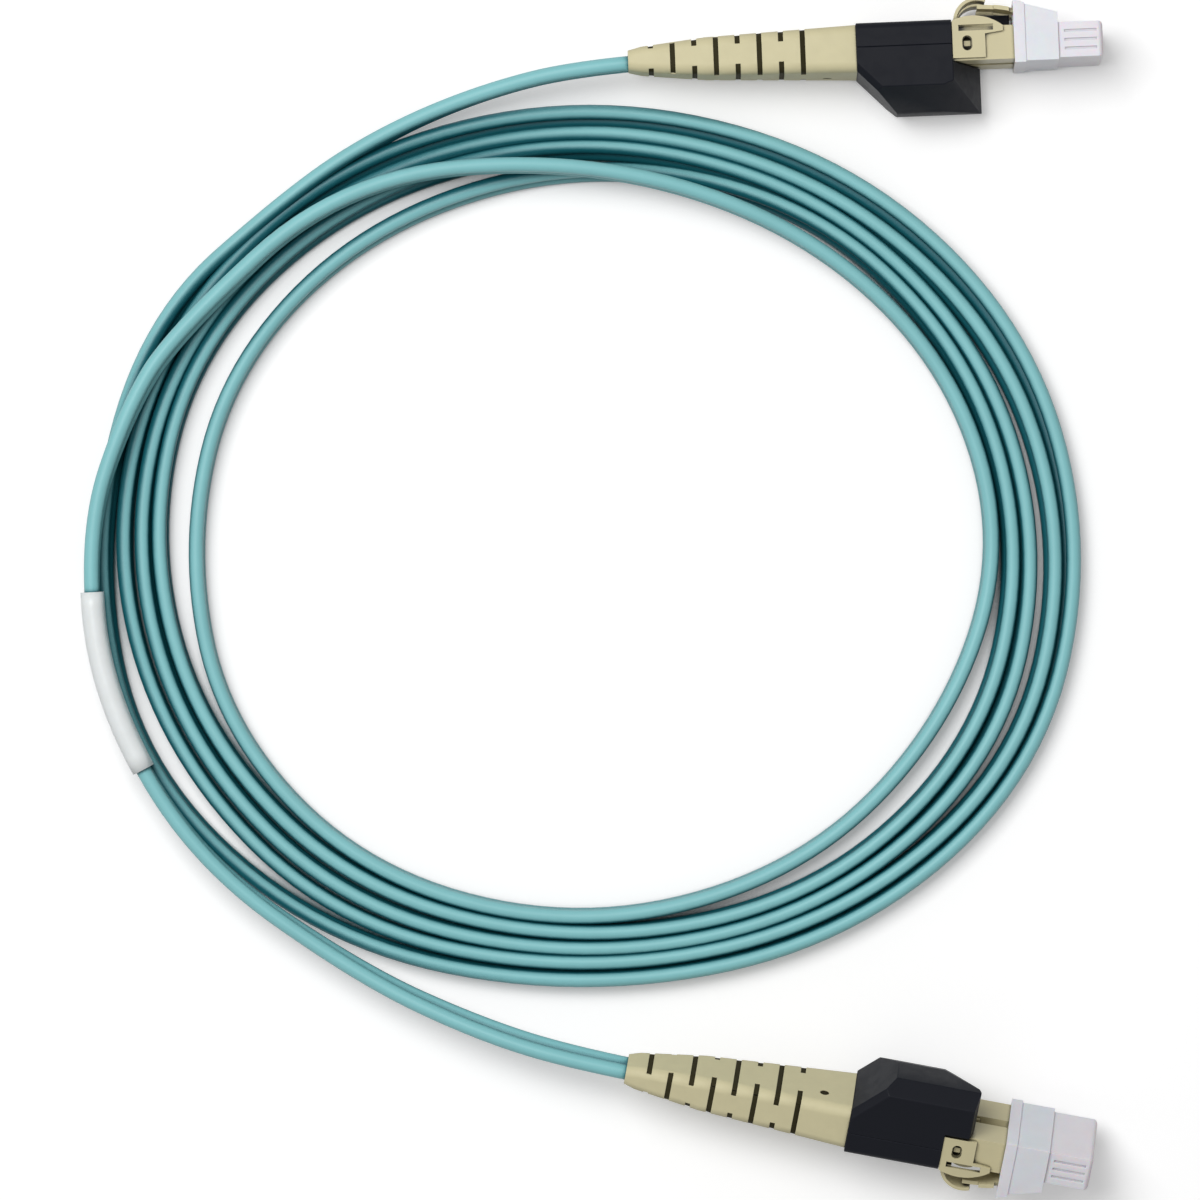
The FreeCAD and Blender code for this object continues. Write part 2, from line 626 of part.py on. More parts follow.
def spring_stop():
    """The rear of the plug: it carries the spring, snaps into the frame and holds it in the housing."""
    insert_radius = FRAME_BORE_RADIUS - SLIDE_CLEARANCE / 2
    stop = turned(
        [
            (COLLAR_REAR_X, STOP_COLLAR_RADIUS),
            (COLLAR_FRONT_X, STOP_COLLAR_RADIUS),
            (COLLAR_FRONT_X, STOP_NECK_RADIUS),
            (FRAME_REAR_X, STOP_NECK_RADIUS),
            (FRAME_REAR_X, insert_radius),
            (STOP_FRONT_X, insert_radius),
        ]
    )
    tab_length = SNAP_LENGTH - 2 * LOOSE_CLEARANCE
    tab_height = SNAP_HEIGHT - SNAP_LENGTH
    tab_range = (SNAP_X - tab_length / 2, SNAP_X + tab_length / 2)
    tabs = box(tab_range, across(PLUG_HALF - SNAP_SHY), across(tab_height / 2))
    stop = stop.fuse(tabs).removeSplitter()
    bore_radius = FIBRE_RADIUS + LOOSE_CLEARANCE
    return stop.cut(rod_x((COLLAR_REAR_X - 1, STOP_FRONT_X + 1), bore_radius))


def ferrule():
    """The ceramic ferrule with its bevelled tip, ground down a little where the flange holds it."""
    return turned(
        [
            (FERRULE_REAR_X, FERRULE_HELD_RADIUS),
            (FLANGE_NOSE_X, FERRULE_HELD_RADIUS),
            (FLANGE_NOSE_X, FERRULE_RADIUS),
            (FERRULE_TIP_X - FERRULE_TIP_BEVEL, FERRULE_RADIUS),
            (FERRULE_TIP_X, FERRULE_RADIUS - FERRULE_TIP_BEVEL),
        ]
    )


def ferrule_flange():
    """The metal holder pressed on the ferrule: a nose in the seat ring, a flange and a stem in the spring."""
    flange = turned(
        [
            (STEM_REAR_X, STEM_RADIUS),
            (FLANGE_REAR_X, STEM_RADIUS),
            (FLANGE_REAR_X, FLANGE_RADIUS),
            (FLANGE_FRONT_X, FLANGE_RADIUS),
            (FLANGE_FRONT_X, FLANGE_NOSE_RADIUS),
            (FLANGE_NOSE_X, FLANGE_NOSE_RADIUS),
        ]
    )
    flange = flange.cut(rod_x((FERRULE_REAR_X, FLANGE_NOSE_X + 1), FERRULE_HELD_RADIUS))
    return flange.cut(rod_x((STEM_REAR_X - 1, FERRULE_REAR_X + 1), FIBRE_RADIUS))


def spring():
    """The ferrule's coil spring, of square wire, between the stop and the flange."""
    length = FLANGE_REAR_X - STOP_FRONT_X - 2 * SEAT_GAP - SPRING_WIRE
    helix = Part.makeHelix(length / SPRING_TURNS, length, SPRING_RADIUS)
    half = SPRING_WIRE / 2
    corners = [(-half, -half), (half, -half), (half, half), (-half, half), (-half, -half)]
    section = Part.makePolygon([Vector(SPRING_RADIUS + r, 0, z) for r, z in corners])
    coil = Part.Wire(helix).makePipeShell([section], True, True)
    coil.rotate(Vector(), Vector(0, 1, 0), 90)
    coil.translate(Vector(STOP_FRONT_X + SEAT_GAP + half, 0, 0))
    return coil


def fibre(side):
    """One fibre, from the ferrule's rear through the plug and housing to its lobe of the cord."""
    lobe_y = side * (LOBE_PITCH - PLUG_PITCH) / 2
    points = [
        Vector(FERRULE_REAR_X, 0, 0),
        Vector(COLLAR_REAR_X - END_WALL, 0, 0),
        Vector(END_WALL + FRONT_WALL_X / 5, lobe_y, 0),
        Vector(FIBRE_REAR_X, lobe_y, 0),
    ]
    return tube(points, FIBRE_RADIUS, "fibre")


def latch():
    """The sprung arm that rises backwards from the plug's nose, with a locking pad on each side."""
    arm = arc_strip(LATCH_PIVOT, LATCH_CREST, LATCH_TAIL, LATCH_THICKNESS, LATCH_HALF_WIDTH)
    wide = arc_strip(LATCH_PIVOT, LATCH_CREST, LATCH_TAIL, LATCH_THICKNESS, LATCH_PAD_HALF)
    pad_range = (LATCH_PAD_X, LATCH_PAD_X + LATCH_PAD_LENGTH)
    pads = wide.common(box(pad_range, across(LATCH_PAD_HALF), (0, TRIGGER_TIP[1])))
    knuckle = rod_y(*LATCH_PIVOT, KNUCKLE_RADIUS, LATCH_HALF_WIDTH)
    return arm.fuse([pads, knuckle]).removeSplitter()


def trigger_clip():
    """The clip on the plug's rear: an arched cheek on each side and a bridge that carries the trigger."""
    rear_x = FRAME_REAR_X
    front_x = rear_x + CLIP_LENGTH
    tongue_x = rear_x + CLIP_REACH
    corners = [
        (rear_x, CLIP_REAR_Z),
        (rear_x, CLIP_FOOT_Z),
        (front_x, CLIP_FOOT_Z),
        (front_x, TONGUE_ROOT_Z),
        (tongue_x, TONGUE_END_Z),
        (tongue_x, TONGUE_TOP_Z),
    ]
    points = [Vector(x, -CLIP_OUTER, z) for x, z in corners]
    crest = Vector(rear_x + CLIP_ARCH, -CLIP_OUTER, CLIP_ARCH_Z)
    edges = [Part.LineSegment(a, b).toShape() for a, b in zip(points, points[1:])]
    edges.append(Part.Arc(points[-1], crest, points[0]).toShape())
    cheeks = Part.Face(Part.Wire(edges)).extrude(Vector(0, 2 * CLIP_OUTER, 0))
    cheeks = cheeks.cut(box((rear_x - 1, tongue_x + 1), across(CLIP_INNER), across(PLUG_SIDE)))
    cheeks = cheeks.cut(clip_slot(across(CLIP_OUTER + 1)))
    rim = CLIP_WALL / 2
    cheeks = cheeks.cut(oval_window(SNAP_LENGTH + rim, SNAP_HEIGHT + rim, SNAP_X, across(CLIP_OUTER + 1)))
    bridge_z = (PLUG_HALF + SLIDE_CLEARANCE, CLIP_REAR_Z)
    bridge = box((rear_x, rear_x + BRIDGE_LENGTH), across(CLIP_INNER), bridge_z)
    bridge = bridge.cut(rod_y(*TRIGGER_PIVOT, KNUCKLE_RADIUS + SLIDE_CLEARANCE, PLUG_SIDE))
    return cheeks.fuse(bridge).removeSplitter()


def trigger():
    """The hooked strip that rises from the clip and reaches forward over the latch's tail."""
    strip = arc_strip(TRIGGER_PIVOT, TRIGGER_BEND, TRIGGER_TIP, TRIGGER_THICKNESS, TRIGGER_HALF_WIDTH)
    knuckle = rod_y(*TRIGGER_PIVOT, KNUCKLE_RADIUS, TRIGGER_HALF_WIDTH)
    return strip.fuse(knuckle).removeSplitter()


def cap_top(x):
    """The height of the cap's sloping top at a station."""
    share = (x - CAP_REAR_X) / (CAP_STEP_X - CAP_REAR_X)
    return CAP_REAR_TOP + (CAP_STEP_TOP - CAP_REAR_TOP) * share


def cap_block(x_range, grow, half_width):
    """A slice of the cap's base, grown outwards."""
    outline = [
        (x_range[0], -CAP_BOTTOM - grow),
        (x_range[1], -CAP_BOTTOM - grow),
        (x_range[1], cap_top(x_range[1]) + grow),
        (x_range[0], cap_top(x_range[0]) + grow),
    ]
    return plate(outline, across(half_width))


def cap_pocket(side):
    """The room for one plug: its square nose, its latch and its ferrule."""
    floor_x = NOSE_X + CAP_NOSE_SLACK
    half = PLUG_HALF + LOOSE_CLEARANCE
    pocket = box((CAP_REAR_X - 1, floor_x), across(half), across(half))
    roof = [(x, cap_top(x) - CAP_ROOF_WALL) for x in (floor_x, CAP_REAR_X - 1)]
    channel = plate([(CAP_REAR_X - 1, 0), (floor_x, 0)] + roof, across(LATCH_PAD_HALF + LOOSE_CLEARANCE))
    bore = rod_x((NOSE_X, FERRULE_TIP_X + CAP_BORE_SLACK), CAP_BORE_RADIUS)
    room = pocket.fuse([channel, bore])
    room.translate(Vector(0, side * PLUG_PITCH / 2, 0))
    return room


def dust_cap():
    """The cap over both plugs: a sloping base with a lip, and a ribbed tip to pull it by."""
    base = cap_block((CAP_REAR_X, CAP_STEP_X), 0, CAP_HALF_WIDTH)
    lip = cap_block((CAP_REAR_X, CAP_REAR_X + CAP_LIP_LENGTH), CAP_LIP, CAP_HALF_WIDTH + CAP_LIP)
    tip_range = (CAP_STEP_X, CAP_FRONT_X)
    tip = box(tip_range, across(CAP_TIP_HALF_WIDTH), across(CAP_TIP_HALF_HEIGHT))
    tip = tip.makeFillet(CAP_TIP_ROUNDING, edges_where(tip, lambda p: near(p.x, CAP_FRONT_X)))
    cap = base.fuse([lip, tip]).removeSplitter()
    return cap.cut(both_sides(cap_pocket)).cut(cap_grooves())


def cap_grooves():
    """The grooves between the grip ribs on the tip's sides."""
    x_range = (CAP_STEP_X + RIB_MARGIN, CAP_FRONT_X - RIB_MARGIN)
    cuts = []
    for side in (-1, 1):
        wall = sorted([side * (CAP_TIP_HALF_WIDTH - RIB_DEPTH), side * (CAP_TIP_HALF_WIDTH + 1)])
        for number in range(RIB_COUNT):
            z = (number - (RIB_COUNT - 1) / 2) * RIB_PITCH
            cuts.append(box(x_range, wall, (z - RIB_GROOVE / 2, z + RIB_GROOVE / 2)))
    return Part.makeCompound(cuts)


def connector(end):
    """Every piece of one connector in its own frame, by node name."""
    pieces = {
        f"boot_{end}": boot(),
        f"crimp_sleeve_{end}": crimp_sleeve(),
        f"housing_cover_{end}": housing_cover(),
        f"housing_base_{end}": housing_base(),
        f"dust_cap_{end}": dust_cap(),
    }
    for number, side in ((1, -1), (2, 1)):
        plug = {
            "plug_frame": plug_frame(),
            "latch": latch(),
            "trigger_clip": trigger_clip(),
            "trigger": trigger(),
            "ferrule": ferrule(),
            "ferrule_flange": ferrule_flange(),
            "spring": spring(),
            "spring_stop": spring_stop(),
            "fibre": fibre(side),
        }
        for name, shape in plug.items():
            shape.translate(Vector(0, side * PLUG_PITCH / 2, 0))
            pieces[f"{name}_{end}{number}"] = shape
    return pieces


def end_placement(place, heading, roll, pieces):
    """Where a connector lies: turned, rolled and set down until its lowest corner is on the floor."""
    turn = Rotation(Vector(0, 0, 1), heading).multiply(Rotation(Vector(1, 0, 0), roll))
    heights = [turn.multVec(corner.Point).z for shape in pieces.values() for corner in shape.Vertexes]
    return Placement(Vector(place[0], place[1], -min(heights)), turn)


def tail_points(placement, free_points):
    """A cord tail's middle line, from inside the boot, and the way its width points."""
    inside = [placement.multVec(Vector(x, 0, 0)) for x in (ROUTE_START_X, FIRST_BEND_X)]
    upright = Vector(0, 0, 1)
    across_boot = placement.Rotation.multVec(Vector(0, 1, 0))
    if across_boot.z < 0:
        across_boot = -across_boot
    easing = (across_boot + upright).normalize()
    free = [(x * COIL_HALF_LENGTH, y * COIL_HALF_WIDTH, REST_HEIGHT + rise) for x, y, rise in free_points]
    middle = inside + [Vector(*point) for point in free]
    widths = [across_boot, across_boot, easing] + [upright] * (len(free_points) - 1)
    return middle, widths


def cord_tail(middle, widths, name):
    """The flat cord's two lobes, side by side along its middle line and on into the crimp sleeve."""
    lobes = []
    for side in (-1, 1):
        points = [point + width * (side * LOBE_PITCH / 2) for point, width in zip(middle, widths)]
        free = tube(points, LOBE_RADIUS, name)
        held = Part.makeCylinder(LOBE_RADIUS, CORD_END_X - ROUTE_START_X, points[0], points[0] - points[1])
        lobes.append(free.fuse(held).removeSplitter())
    return Part.makeCompound(lobes)


def label_sleeve(middle):
    """The blank sleeve on the cord: a flat tube that follows one level bend of the cord."""
    _, crown, _, radius, centre = bend(*middle[LABEL_BEND + 1 : LABEL_BEND + 4])
    sweep = math.degrees(LABEL_LENGTH / radius)
    upright = Rotation(Vector(1, 0, 0), 90)
    facing = Rotation(Vector(0, -1, 0), crown - centre)
    walls = []
    for wall in (LABEL_WALL, 0.0):
        half_size = [half + wall for half in CORD_HOLE]
        outline = rounded_outline(0, half_size, half_size[1])
        outline.Placement = Placement(crown, facing.multiply(upright))
        outline.rotate(centre, Vector(0, 0, 1), -sweep / 2)
        walls.append(Part.Face(outline).revolve(centre, Vector(0, 0, 1), sweep))
    return walls[0].cut(walls[1])


def oval_face(half_length, half_width, centre):
    """An ellipse on the floor."""
    middle = Vector(centre[0], centre[1], 0)
    ends = [middle + Vector(half_length, 0, 0), middle + Vector(0, half_width, 0)]
    if half_width > half_length:
        ends.reverse()
    return Part.Face(Part.Wire(Part.Ellipse(*ends, middle).toShape()))


def cable_coil():
    """The outer shape of the loose oval coil."""
    outer = oval_face(COIL_HALF_LENGTH, COIL_HALF_WIDTH, COIL_OUTER_CENTRE)
    inner = oval_face(COIL_HALF_LENGTH - COIL_SIDE_BAND, COIL_HALF_WIDTH - COIL_END_BAND, COIL_INNER_CENTRE)
    coil = outer.cut(inner).Faces[0].extrude(Vector(0, 0, COIL_HEIGHT))
    return coil.makeChamfer(COIL_BEVEL, edges_where(coil, lambda p: near(p.z, COIL_HEIGHT)))


def build():
    """Every node of the cord, placed with the middle of the connectors' footprint at the origin."""
    nodes = {}
    tails = {}
    for end, place, heading, roll, free_points in (
        ("a", END_A_PLACE, END_A_HEADING, END_A_ROLL, TAIL_A_POINTS),
        ("b", END_B_PLACE, END_B_HEADING, END_B_ROLL, TAIL_B_POINTS),
    ):
        pieces = connector(end)
        placement = end_placement(place, heading, roll, pieces)
        for name, shape in pieces.items():
            shape.Placement = placement.multiply(shape.Placement)
            nodes[name] = shape
        tails[end] = tail_points(placement, free_points)
    footprint = Part.makeCompound(list(nodes.values())).optimalBoundingBox(False, False)
    for end, (middle, widths) in tails.items():
        nodes[f"cable_tail_{end}"] = cord_tail(middle, widths, f"cable_tail_{end}")
    nodes["label_sleeve"] = label_sleeve(tails["b"][0])
    nodes["cable_coil"] = cable_coil()
    origin = Vector(footprint.Center.x, footprint.Center.y, 0)
    for shape in nodes.values():
        shape.translate(-origin)
    return nodes


def main():
    os.makedirs("parts", exist_ok=True)
    for name, shape in build().items():
        shape.exportStep(f"parts/{name}.step")


main()
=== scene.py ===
import json
import math

import bmesh
import bpy
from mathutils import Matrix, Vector

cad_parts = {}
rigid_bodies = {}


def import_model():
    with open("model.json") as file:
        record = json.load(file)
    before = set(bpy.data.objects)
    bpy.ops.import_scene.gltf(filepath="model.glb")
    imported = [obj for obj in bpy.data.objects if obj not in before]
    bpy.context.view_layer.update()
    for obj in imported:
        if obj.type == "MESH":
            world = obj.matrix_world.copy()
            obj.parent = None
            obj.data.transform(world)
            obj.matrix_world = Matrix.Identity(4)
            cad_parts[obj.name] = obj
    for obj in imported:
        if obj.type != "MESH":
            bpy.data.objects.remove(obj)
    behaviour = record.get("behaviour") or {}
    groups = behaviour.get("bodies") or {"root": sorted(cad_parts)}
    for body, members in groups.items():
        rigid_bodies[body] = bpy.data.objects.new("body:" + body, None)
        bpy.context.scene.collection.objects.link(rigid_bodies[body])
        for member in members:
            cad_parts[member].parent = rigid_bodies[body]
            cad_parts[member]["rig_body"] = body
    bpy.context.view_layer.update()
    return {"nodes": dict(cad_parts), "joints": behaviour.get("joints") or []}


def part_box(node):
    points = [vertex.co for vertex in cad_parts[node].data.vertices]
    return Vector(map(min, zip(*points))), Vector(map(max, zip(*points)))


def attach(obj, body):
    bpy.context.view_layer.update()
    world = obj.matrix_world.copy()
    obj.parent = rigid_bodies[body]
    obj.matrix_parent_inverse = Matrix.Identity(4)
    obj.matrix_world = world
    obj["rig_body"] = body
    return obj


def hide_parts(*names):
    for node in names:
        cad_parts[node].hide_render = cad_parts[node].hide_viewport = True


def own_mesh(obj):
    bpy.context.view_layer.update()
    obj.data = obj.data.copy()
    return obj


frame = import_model()

bl_info = {
    "name": "Duplex fibre patch cord",
    "version": (1, 0, 0),
    "blender": (4, 5, 0),
    "location": "View3D > Sidebar > Patch Cord",
    "description": "Winds a flat duplex cord into its loose coil and finishes the connector on each end",
    "category": "Object",
}

# Everything is in metres. MM turns a measure in millimetres into metres.
MM = 0.001
ENDS = ("a", "b")
PLUGS = ("a1", "a2", "b1", "b2")
ROOT = "patch_cord"

# The coil's half sizes, and its middle, which is the origin of the route
COIL_HALF_LENGTH = 64.6 * MM
COIL_HALF_WIDTH = 58.0 * MM
COIL_SHIFT = 0.9 * MM
coil_low, coil_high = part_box("cable_coil")
COIL_MIDDLE = (coil_low + coil_high) / 2 - Vector((COIL_SHIFT, 0, 0))

# The route from each boot to the coil: (x, y) as shares of the coil's half sizes, height in millimetres,
# and how far the cord's width leans from upright, in degrees
ROUTE_A = (
    (0.202, 1.112, 6.55, 5),
    (-0.007, 1.096, 6.55, 5),
    (-0.220, 1.036, 5.0, 4),
    (-0.418, 0.941, 3.5, 10),
    (-0.596, 0.810, 2.6, 18),
)
ROUTE_B = (
    (-0.847, 0.480, 6.1, 16),
    (-0.942, 0.307, 6.1, 12),
    (-1.024, 0.042, 6.1, 4),
    (-1.000, -0.334, 6.0, 0),
    (-0.805, -0.719, 5.2, 6),
    (-0.464, -0.983, 5.4, 20),
    (-0.218, -1.109, 7.0, 34),
    (-0.009, -1.180, 8.0, 32),
    (0.196, -1.223, 8.0, 28),
)

# The coil's loose turns: how far each lies from the middle, in millimetres, at every 30 degrees
# from 150 degrees round to 120, and how much of that is left across the coil
TURN_START = 150
TURN_STEPS = 12
TURN_FLATNESS = 0.88
TURN_RADII = (
    (64.9, 63.5, 66.7, 67.0, 65.2, 66.6, 66.8, 64.2, 64.5, 65.0, 64.9, 64.4),
    (62.4, 61.1, 61.7, 64.2, 62.8, 64.1, 64.7, 62.0, 61.6, 61.8, 62.1, 61.7),
    (60.2, 58.5, 59.15, 61.4, 60.7, 61.8, 61.3, 58.5, 58.5, 59.6, 59.9, 59.5),
    (58.4, 56.2, 56.7, 58.6, 58.4, 59.6, 58.7, 56.4, 56.5, 57.7, 56.5, 54.6),
    (52.9, 51.2, 53.8, 56.1, 56.3, 55.3, 53.5, 54.2, 54.0, 54.4, 56.5, 62.0),
)

# How far each turn leans, in degrees: in the mean, and how much more of it towards one side of the coil,
# with that side's angle
TURN_LEANS = ((24, 14), (12, 8), (18, 10), (12, 6), (6, 0))
LEAN_SIDE = 60

# How far the turns sink into the floor, and the heights at which the last one climbs over the others,
# in millimetres
REST_SINK = 0.05
LAST_HUMP = (2.4, 3.6, 6.0, 6.1)

# The order of the cord's curve, the steps in it and in the outlines that run along it,
# and the angle past which an edge of them stays sharp
ROUTE_ORDER = 3
ROUTE_RESOLUTION = 12
LOBE_STEPS = 10
SLEEVE_END_STEPS = 8
SWEEP_SHARP_ANGLE = math.radians(40)

# The share of the cord past which its sleeve lies, and how far the sleeve leans, in degrees
SLEEVE_SEARCH_START = 0.75
SLEEVE_LEAN = 2

# Rounding of the moulded edges: points this near and faces this flat become one, edges this sharp are
# rounded in so many steps, and edges past SMOOTH_ANGLE stay sharp in the shading
MERGE_DISTANCE = 0.001 * MM
FLAT_ANGLE = math.radians(1)
SHARP_ANGLE = math.radians(30)
SMOOTH_ANGLE = math.radians(36)
EDGE_STEPS = 2

# The dark cores in the boots, which paint the shade in their slots: a coarser merge, which leaves no
# slivers, and how near a face's normal is to the connector's axis where the face counts as an end
CORE_MERGE_DISTANCE = 0.05 * MM
END_FACE_SHARE = 0.9

# How much rougher smudges and tool lines make a surface
SMUDGE_ROUGHNESS = 0.06
TOOL_LINE_ROUGHNESS = 0.12

# How often the jacket's fine lines change along the cord and around it
LINES_ALONG = 30.0
LINES_AROUND = 26.0

# The floor: the share of its colour in the light that it sends back up, and the glow where it is seen
FLOOR_RETURN = 0.45
FLOOR_GLOW = (0.25, 0.25, 0.25)
NO_GLOW = (0.0, 0.0, 0.0)

# The middle of the picture from the coil's middle, and the lamp from the middle of the picture
VIEW_SHIFT = Vector((2.0, -7.32, 0)) * MM
LAMP_PLACE = Vector((-300, 300, 950)) * MM

# The camera's sensor, in millimetres as Blender counts it, and how far the camera sees, in metres
SENSOR_WIDTH = 36
FARTHEST_SEEN = 10


def linear(red, green, blue):
    """A colour as written in a paint program, in the linear values that Blender's shaders take."""
    channels = []
    for value in (red, green, blue):
        share = value / 255
        channels.append(share / 12.92 if share <= 0.04045 else ((share + 0.055) / 1.055) ** 2.4)
    return tuple(channels)


def colour_property(name, description, colour):
    """A colour that the user can change."""
    return bpy.props.FloatVectorProperty(
        name=name,
        description=description,
        default=linear(*colour),
        min=0.0,
        max=1.0,
        size=3,
        subtype="COLOR",
    )


def length_property(name, description, size):
    """A length that the user can change, given in millimetres."""
    return bpy.props.FloatProperty(
        name=name,
        description=description,
        default=size * MM,
        min=0.0,
        unit="LENGTH",
    )


class CordSettings(bpy.types.PropertyGroup):
    """The flat duplex cord and the blank sleeve on it."""

    lobe: length_property("Lobe", "Diameter of each round lobe", 2.0)
    web: length_property("Web", "Thickness of the web between the lobes", 0.7)
    sleeve_length: length_property("Sleeve length", "Length of the blank sleeve", 22.5)
    sleeve_gap: length_property("Sleeve gap", "How far the sleeve stands off the cord", 0.3)
    sleeve_wall: length_property("Sleeve wall", "Thickness of the sleeve's film", 0.2)
    jacket: colour_property("Jacket", "Colour of the cord's jacket", (138, 202, 206))
    # The jacket's colour in the gaps between turns is painted shade
    jacket_painted_shade: colour_property("Jacket in gaps", "Colour of the jacket between turns", (24, 98, 108))
    sleeve: colour_property("Sleeve", "Colour of the blank sleeve", (246, 250, 248))


class ConnectorSettings(bpy.types.PropertyGroup):
    """The finishes of the two connectors."""

    edge: length_property("Edge", "Rounding of the boots' and housings' edges", 0.12)
    plug_edge: length_property("Plug edge", "Rounding of the plugs' edges", 0.06)
    cap_edge: length_property("Cap edge", "Rounding of the dust caps' edges", 0.24)
    boot: colour_property("Boot", "Colour of the strain reliefs", (208, 200, 162))
    # The slots' colour is painted shade, which stands in for the shadow deep in the slots
    slot: colour_property("Slot", "Colour in the strain reliefs' slots", (52, 48, 30))
    slot_depth: length_property("Slot depth", "Depth of the dark core behind the slots", 0.15)
    slot_wall: length_property("Slot wall", "Wall of the dark core behind the slots", 0.25)
    housing: colour_property("Housing", "Colour of the housings", (18, 20, 27))
    plug: colour_property("Plug", "Colour of the plugs, latches and clips", (206, 197, 158))
    cap: colour_property("Cap", "Colour of the dust caps", (237, 232, 238))
    ceramic: colour_property("Ceramic", "Colour of the ferrules", (236, 234, 228))
    steel: colour_property("Steel", "Colour of the springs and flanges", (176, 178, 182))
    crimp: colour_property("Crimp", "Colour of the crimp sleeves", (190, 182, 160))
    fibre: colour_property("Fibre", "Colour of the buffered fibres", (170, 214, 214))


class StageSettings(bpy.types.PropertyGroup):
    """The floor, the light and the camera."""

    floor: colour_property("Floor", "Colour of the floor", (246, 246, 246))
    # The floor's colour in narrow gaps is painted shade
    floor_painted_shade: colour_property("Floor in gaps", "Colour of the floor in narrow gaps", (30, 92, 100))
    floor_reach: length_property("Floor reach", "How far the floor reaches to each side", 2000)
    view_width: length_property("View width", "Width of the picture on the floor", 160)
    camera_height: length_property("Camera height", "Height of the camera", 2000)
    lamp_size: length_property("Lamp size", "Side of the square main lamp", 600)
    lamp_power: bpy.props.FloatProperty(
        name="Lamp power", description="Power of the main lamp", default=7.5, min=0.0, unit="POWER"
    )
    sky: bpy.props.FloatProperty(
        name="Sky", description="Strength of the light from all round", default=0.3, min=0.0
    )


def add_node(tree, kind, inputs=None, **settings):
    """A new node in a tree, with its settings and the values of its inputs."""
    made = tree.nodes.new(kind)
    for name, value in settings.items():
        setattr(made, name, value)
    for name, value in (inputs or {}).items():
        made.inputs[name].default_value = value
    return made


def scaled(tree, value, factor, shift=0.0):
    """A value times a factor, plus a shift."""
    maths = add_node(tree, "ShaderNodeMath", {1: factor, 2: shift}, operation="MULTIPLY_ADD")
    tree.links.new(value, maths.inputs[0])
    return maths.outputs[0]


def mixed(tree, mask, first, second):
    """A colour between the first and the second, as a mask goes from 0 to 1. Either may be a socket."""
    mix = add_node(tree, "ShaderNodeMix", data_type="RGBA")
    tree.links.new(mask, mix.inputs["Factor"])
    sockets = [socket for socket in mix.inputs if socket.type == "RGBA"]
    for socket, colour in zip(sockets, (first, second)):
        if isinstance(colour, bpy.types.NodeSocket):
            tree.links.new(colour, socket)
        else:
            socket.default_value = (*colour, 1)
    return next(socket for socket in mix.outputs if socket.type == "RGBA")


def shade(colour, share):
    """A colour made darker or lighter."""
    return tuple(min(1.0, channel * share) for channel in colour)


def node_group(name, inputs, outputs):
    """A new shader node group with number sockets, and its input and output nodes."""
    group = bpy.data.node_groups.new(name, "ShaderNodeTree")
    for socket, default in inputs.items():
        made = group.interface.new_socket(name=socket, in_out="INPUT", socket_type="NodeSocketFloat")
        made.default_value = default
    for socket in outputs:
        group.interface.new_socket(name=socket, in_out="OUTPUT", socket_type="NodeSocketFloat")
    return group, group.nodes.new("NodeGroupInput"), group.nodes.new("NodeGroupOutput")


def moulded_grain_group():
    """Fine grain from the mould, soft clouds in the colour, and the smudges of handling."""
    scales = {"Grain": 9000.0, "Clouds": 260.0}
    group, given, result = node_group("moulded_grain", scales, ("Height", "Clouds", "Smudge"))
    place = add_node(group, "ShaderNodeTexCoord")
    for name, scale, detail in (("Height", "Grain", 3.0), ("Clouds", "Clouds", 4.0)):
        noise = add_node(group, "ShaderNodeTexNoise", {"Detail": detail, "Roughness": 0.6})
        group.links.new(place.outputs["Object"], noise.inputs["Vector"])
        group.links.new(given.outputs[scale], noise.inputs["Scale"])
        group.links.new(noise.outputs["Fac"], result.inputs[name])
    smudge = add_node(group, "ShaderNodeTexNoise", {"Scale": 420.0, "Detail": 2.0, "Distortion": 1.4})
    group.links.new(place.outputs["Object"], smudge.inputs["Vector"])
    ramp = add_node(group, "ShaderNodeMapRange", {"From Min": 0.42, "From Max": 0.68})
    group.links.new(smudge.outputs["Fac"], ramp.inputs["Value"])
    group.links.new(ramp.outputs["Result"], result.inputs["Smudge"])
    return group


def painted_crevice_shade_group():
    """A mask of the slots, seams and corners where little light gets in, which painted shade darkens."""
    limits = {"Reach": 1.2 * MM, "Open": 0.72, "Shut": 0.4}
    group, given, result = node_group("painted_crevice_shade", limits, ("Mask",))
    hollow = add_node(group, "ShaderNodeAmbientOcclusion", samples=8)
    group.links.new(given.outputs["Reach"], hollow.inputs["Distance"])
    ramp = add_node(group, "ShaderNodeMapRange")
    group.links.new(hollow.outputs["AO"], ramp.inputs["Value"])
    group.links.new(given.outputs["Open"], ramp.inputs["From Min"])
    group.links.new(given.outputs["Shut"], ramp.inputs["From Max"])
    group.links.new(ramp.outputs["Result"], result.inputs["Mask"])
    return group


def worn_edge_group():
    """A mask of the outer edges that hands and trays rub."""
    group, given, result = node_group("worn_edge", {"Reach": 0.25 * MM}, ("Mask",))
    rim = add_node(group, "ShaderNodeAmbientOcclusion", samples=6, inside=True)
    group.links.new(given.outputs["Reach"], rim.inputs["Distance"])
    ramp = add_node(group, "ShaderNodeMapRange", {"From Min": 0.95, "From Max": 0.45})
    group.links.new(rim.outputs["AO"], ramp.inputs["Value"])
    place = add_node(group, "ShaderNodeTexCoord")
    noise = add_node(group, "ShaderNodeTexNoise", {"Scale": 700.0, "Detail": 3.0})
    group.links.new(place.outputs["Object"], noise.inputs["Vector"])
    patchy = add_node(group, "ShaderNodeMath", operation="MULTIPLY", use_clamp=True)
    group.links.new(ramp.outputs["Result"], patchy.inputs[0])
    group.links.new(noise.outputs["Fac"], patchy.inputs[1])
    group.links.new(patchy.outputs[0], result.inputs["Mask"])
    return group


